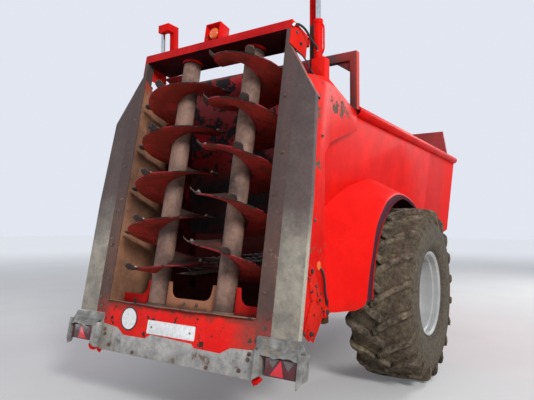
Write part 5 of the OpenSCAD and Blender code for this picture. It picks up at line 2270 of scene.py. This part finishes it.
@dataclass
class Studio:
    """The floor, the light and the camera."""

    camera_place: Point = (2.80124, -6.65422, 1.57493)
    yaw: float = 0.573190
    pitch: float = 0.052428
    roll: float = -0.004289
    lens: float = 33.037
    floor_size: float = 120.0
    floor_colour: Colour = (0.66, 0.655, 0.64)
    aim: Point = (0, -1.5, 1.5)
    sky: float = 0.42
    sky_seen: float = 0.88
    sky_colour: Colour = (0.86, 0.9, 1.0)
    fade: Pair = (6.0, 28.0)
    fade_glow: Pair = (0.1, 0.5)
    glow_colour: Colour = (0.9, 0.93, 1.0)
    lamps: tuple[tuple[str, Point, float, float], ...] = (
        ("key", (9.0, -9.0, 7.5), 1050, 2.6),
        ("fill", (-8.0, -8.0, 4.0), 170, 6.0),
        ("front", (5.0, 9.0, 7.0), 620, 4.0),
    )

    def build(self) -> None:
        """Builds all three."""
        self.camera()
        self.floor()
        self.light()
        bpy.context.scene.view_settings.view_transform = "Standard"

    def camera(self) -> None:
        """Puts the camera where the photograph was taken from."""
        data = bpy.data.cameras.new("camera")
        data.lens = self.lens
        data.clip_end = 300
        made = bpy.data.objects.new("camera", data)
        bpy.context.scene.collection.objects.link(made)
        made.matrix_world = (
            Matrix.Translation(self.camera_place)
            @ Matrix.Rotation(self.yaw, 4, "Z")
            @ Matrix.Rotation(math.pi / 2 + self.pitch, 4, "X")
            @ Matrix.Rotation(-self.roll, 4, "Z")
        )
        bpy.context.scene.camera = made

    def floor(self) -> None:
        """Lays the floor."""
        bpy.ops.object.select_all(action="DESELECT")
        bpy.ops.mesh.primitive_plane_add(size=self.floor_size)
        made = bpy.context.object
        made.name = "floor_plane"
        finish = bpy.data.materials.new("floor_pale")
        finish.use_nodes = True
        web = Web(finish.node_tree)
        shader = finish.node_tree.nodes["Principled BSDF"]
        tone = web.mix(
            web.span(web.noise(0.8, 3), 0.3, 0.7),
            self.floor_colour,
            tuple(0.96 * part for part in self.floor_colour),
        )
        web.feed(shader.inputs["Base Color"], tone)
        shader.inputs["Roughness"].default_value = 0.9
        pale = web.span(web.vectors("LENGTH", web.place()), *self.fade, self.fade_glow)
        web.feed(shader.inputs["Emission Color"], self.glow_colour)
        web.feed(shader.inputs["Emission Strength"], web.maths("MULTIPLY", web.backdrop(), pale))
        made.data.materials.append(finish)

    def light(self) -> None:
        """Hangs the lamps and sets the sky."""
        world = bpy.data.worlds.new("sky")
        bpy.context.scene.world = world
        world.use_nodes = True
        web = Web(world.node_tree)
        sky = world.node_tree.nodes["Background"]
        web.feed(sky.inputs["Color"], self.sky_colour)
        web.feed(sky.inputs["Strength"], web.span(web.backdrop(), 0, 1, (self.sky, self.sky_seen)))
        for name, place, power, size in self.lamps:
            data = bpy.data.lights.new(name, "AREA")
            data.energy = power
            data.size = size
            lamp = bpy.data.objects.new(name, data)
            bpy.context.scene.collection.objects.link(lamp)
            lamp.location = place
            aim = Vector(self.aim) - Vector(place)
            lamp.rotation_euler = aim.to_track_quat("-Z", "Y").to_euler()


def main() -> None:
    """Builds the scene in order."""
    logging.basicConfig(level=logging.INFO, format="%(name)s: %(message)s")
    noise.seed_set(NOISE_SEED)
    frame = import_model()
    bpy.ops.object.select_all(action="DESELECT")
    layout = Layout.read()
    Studio().build()
    effects = Effects()
    finishes = {name: finish.build(name, effects, layout) for name, finish in FINISHES.items()}
    bench = Bench(finishes)
    for assembly in (Wheels, Beaters, Fenders, Lights, Signs, Fittings):
        assembly(bench, layout).build()
        log.info("finished %s", assembly.__name__)
    bench.clear()
    slots = {part["node"]: part["material_slot"] for part in frame["record"]["subparts"]}
    dressing = Dressing(frame["nodes"], finishes, slots)
    for name in frame["nodes"]:
        dressing.dress(name)


if __name__ == "__main__":
    main()
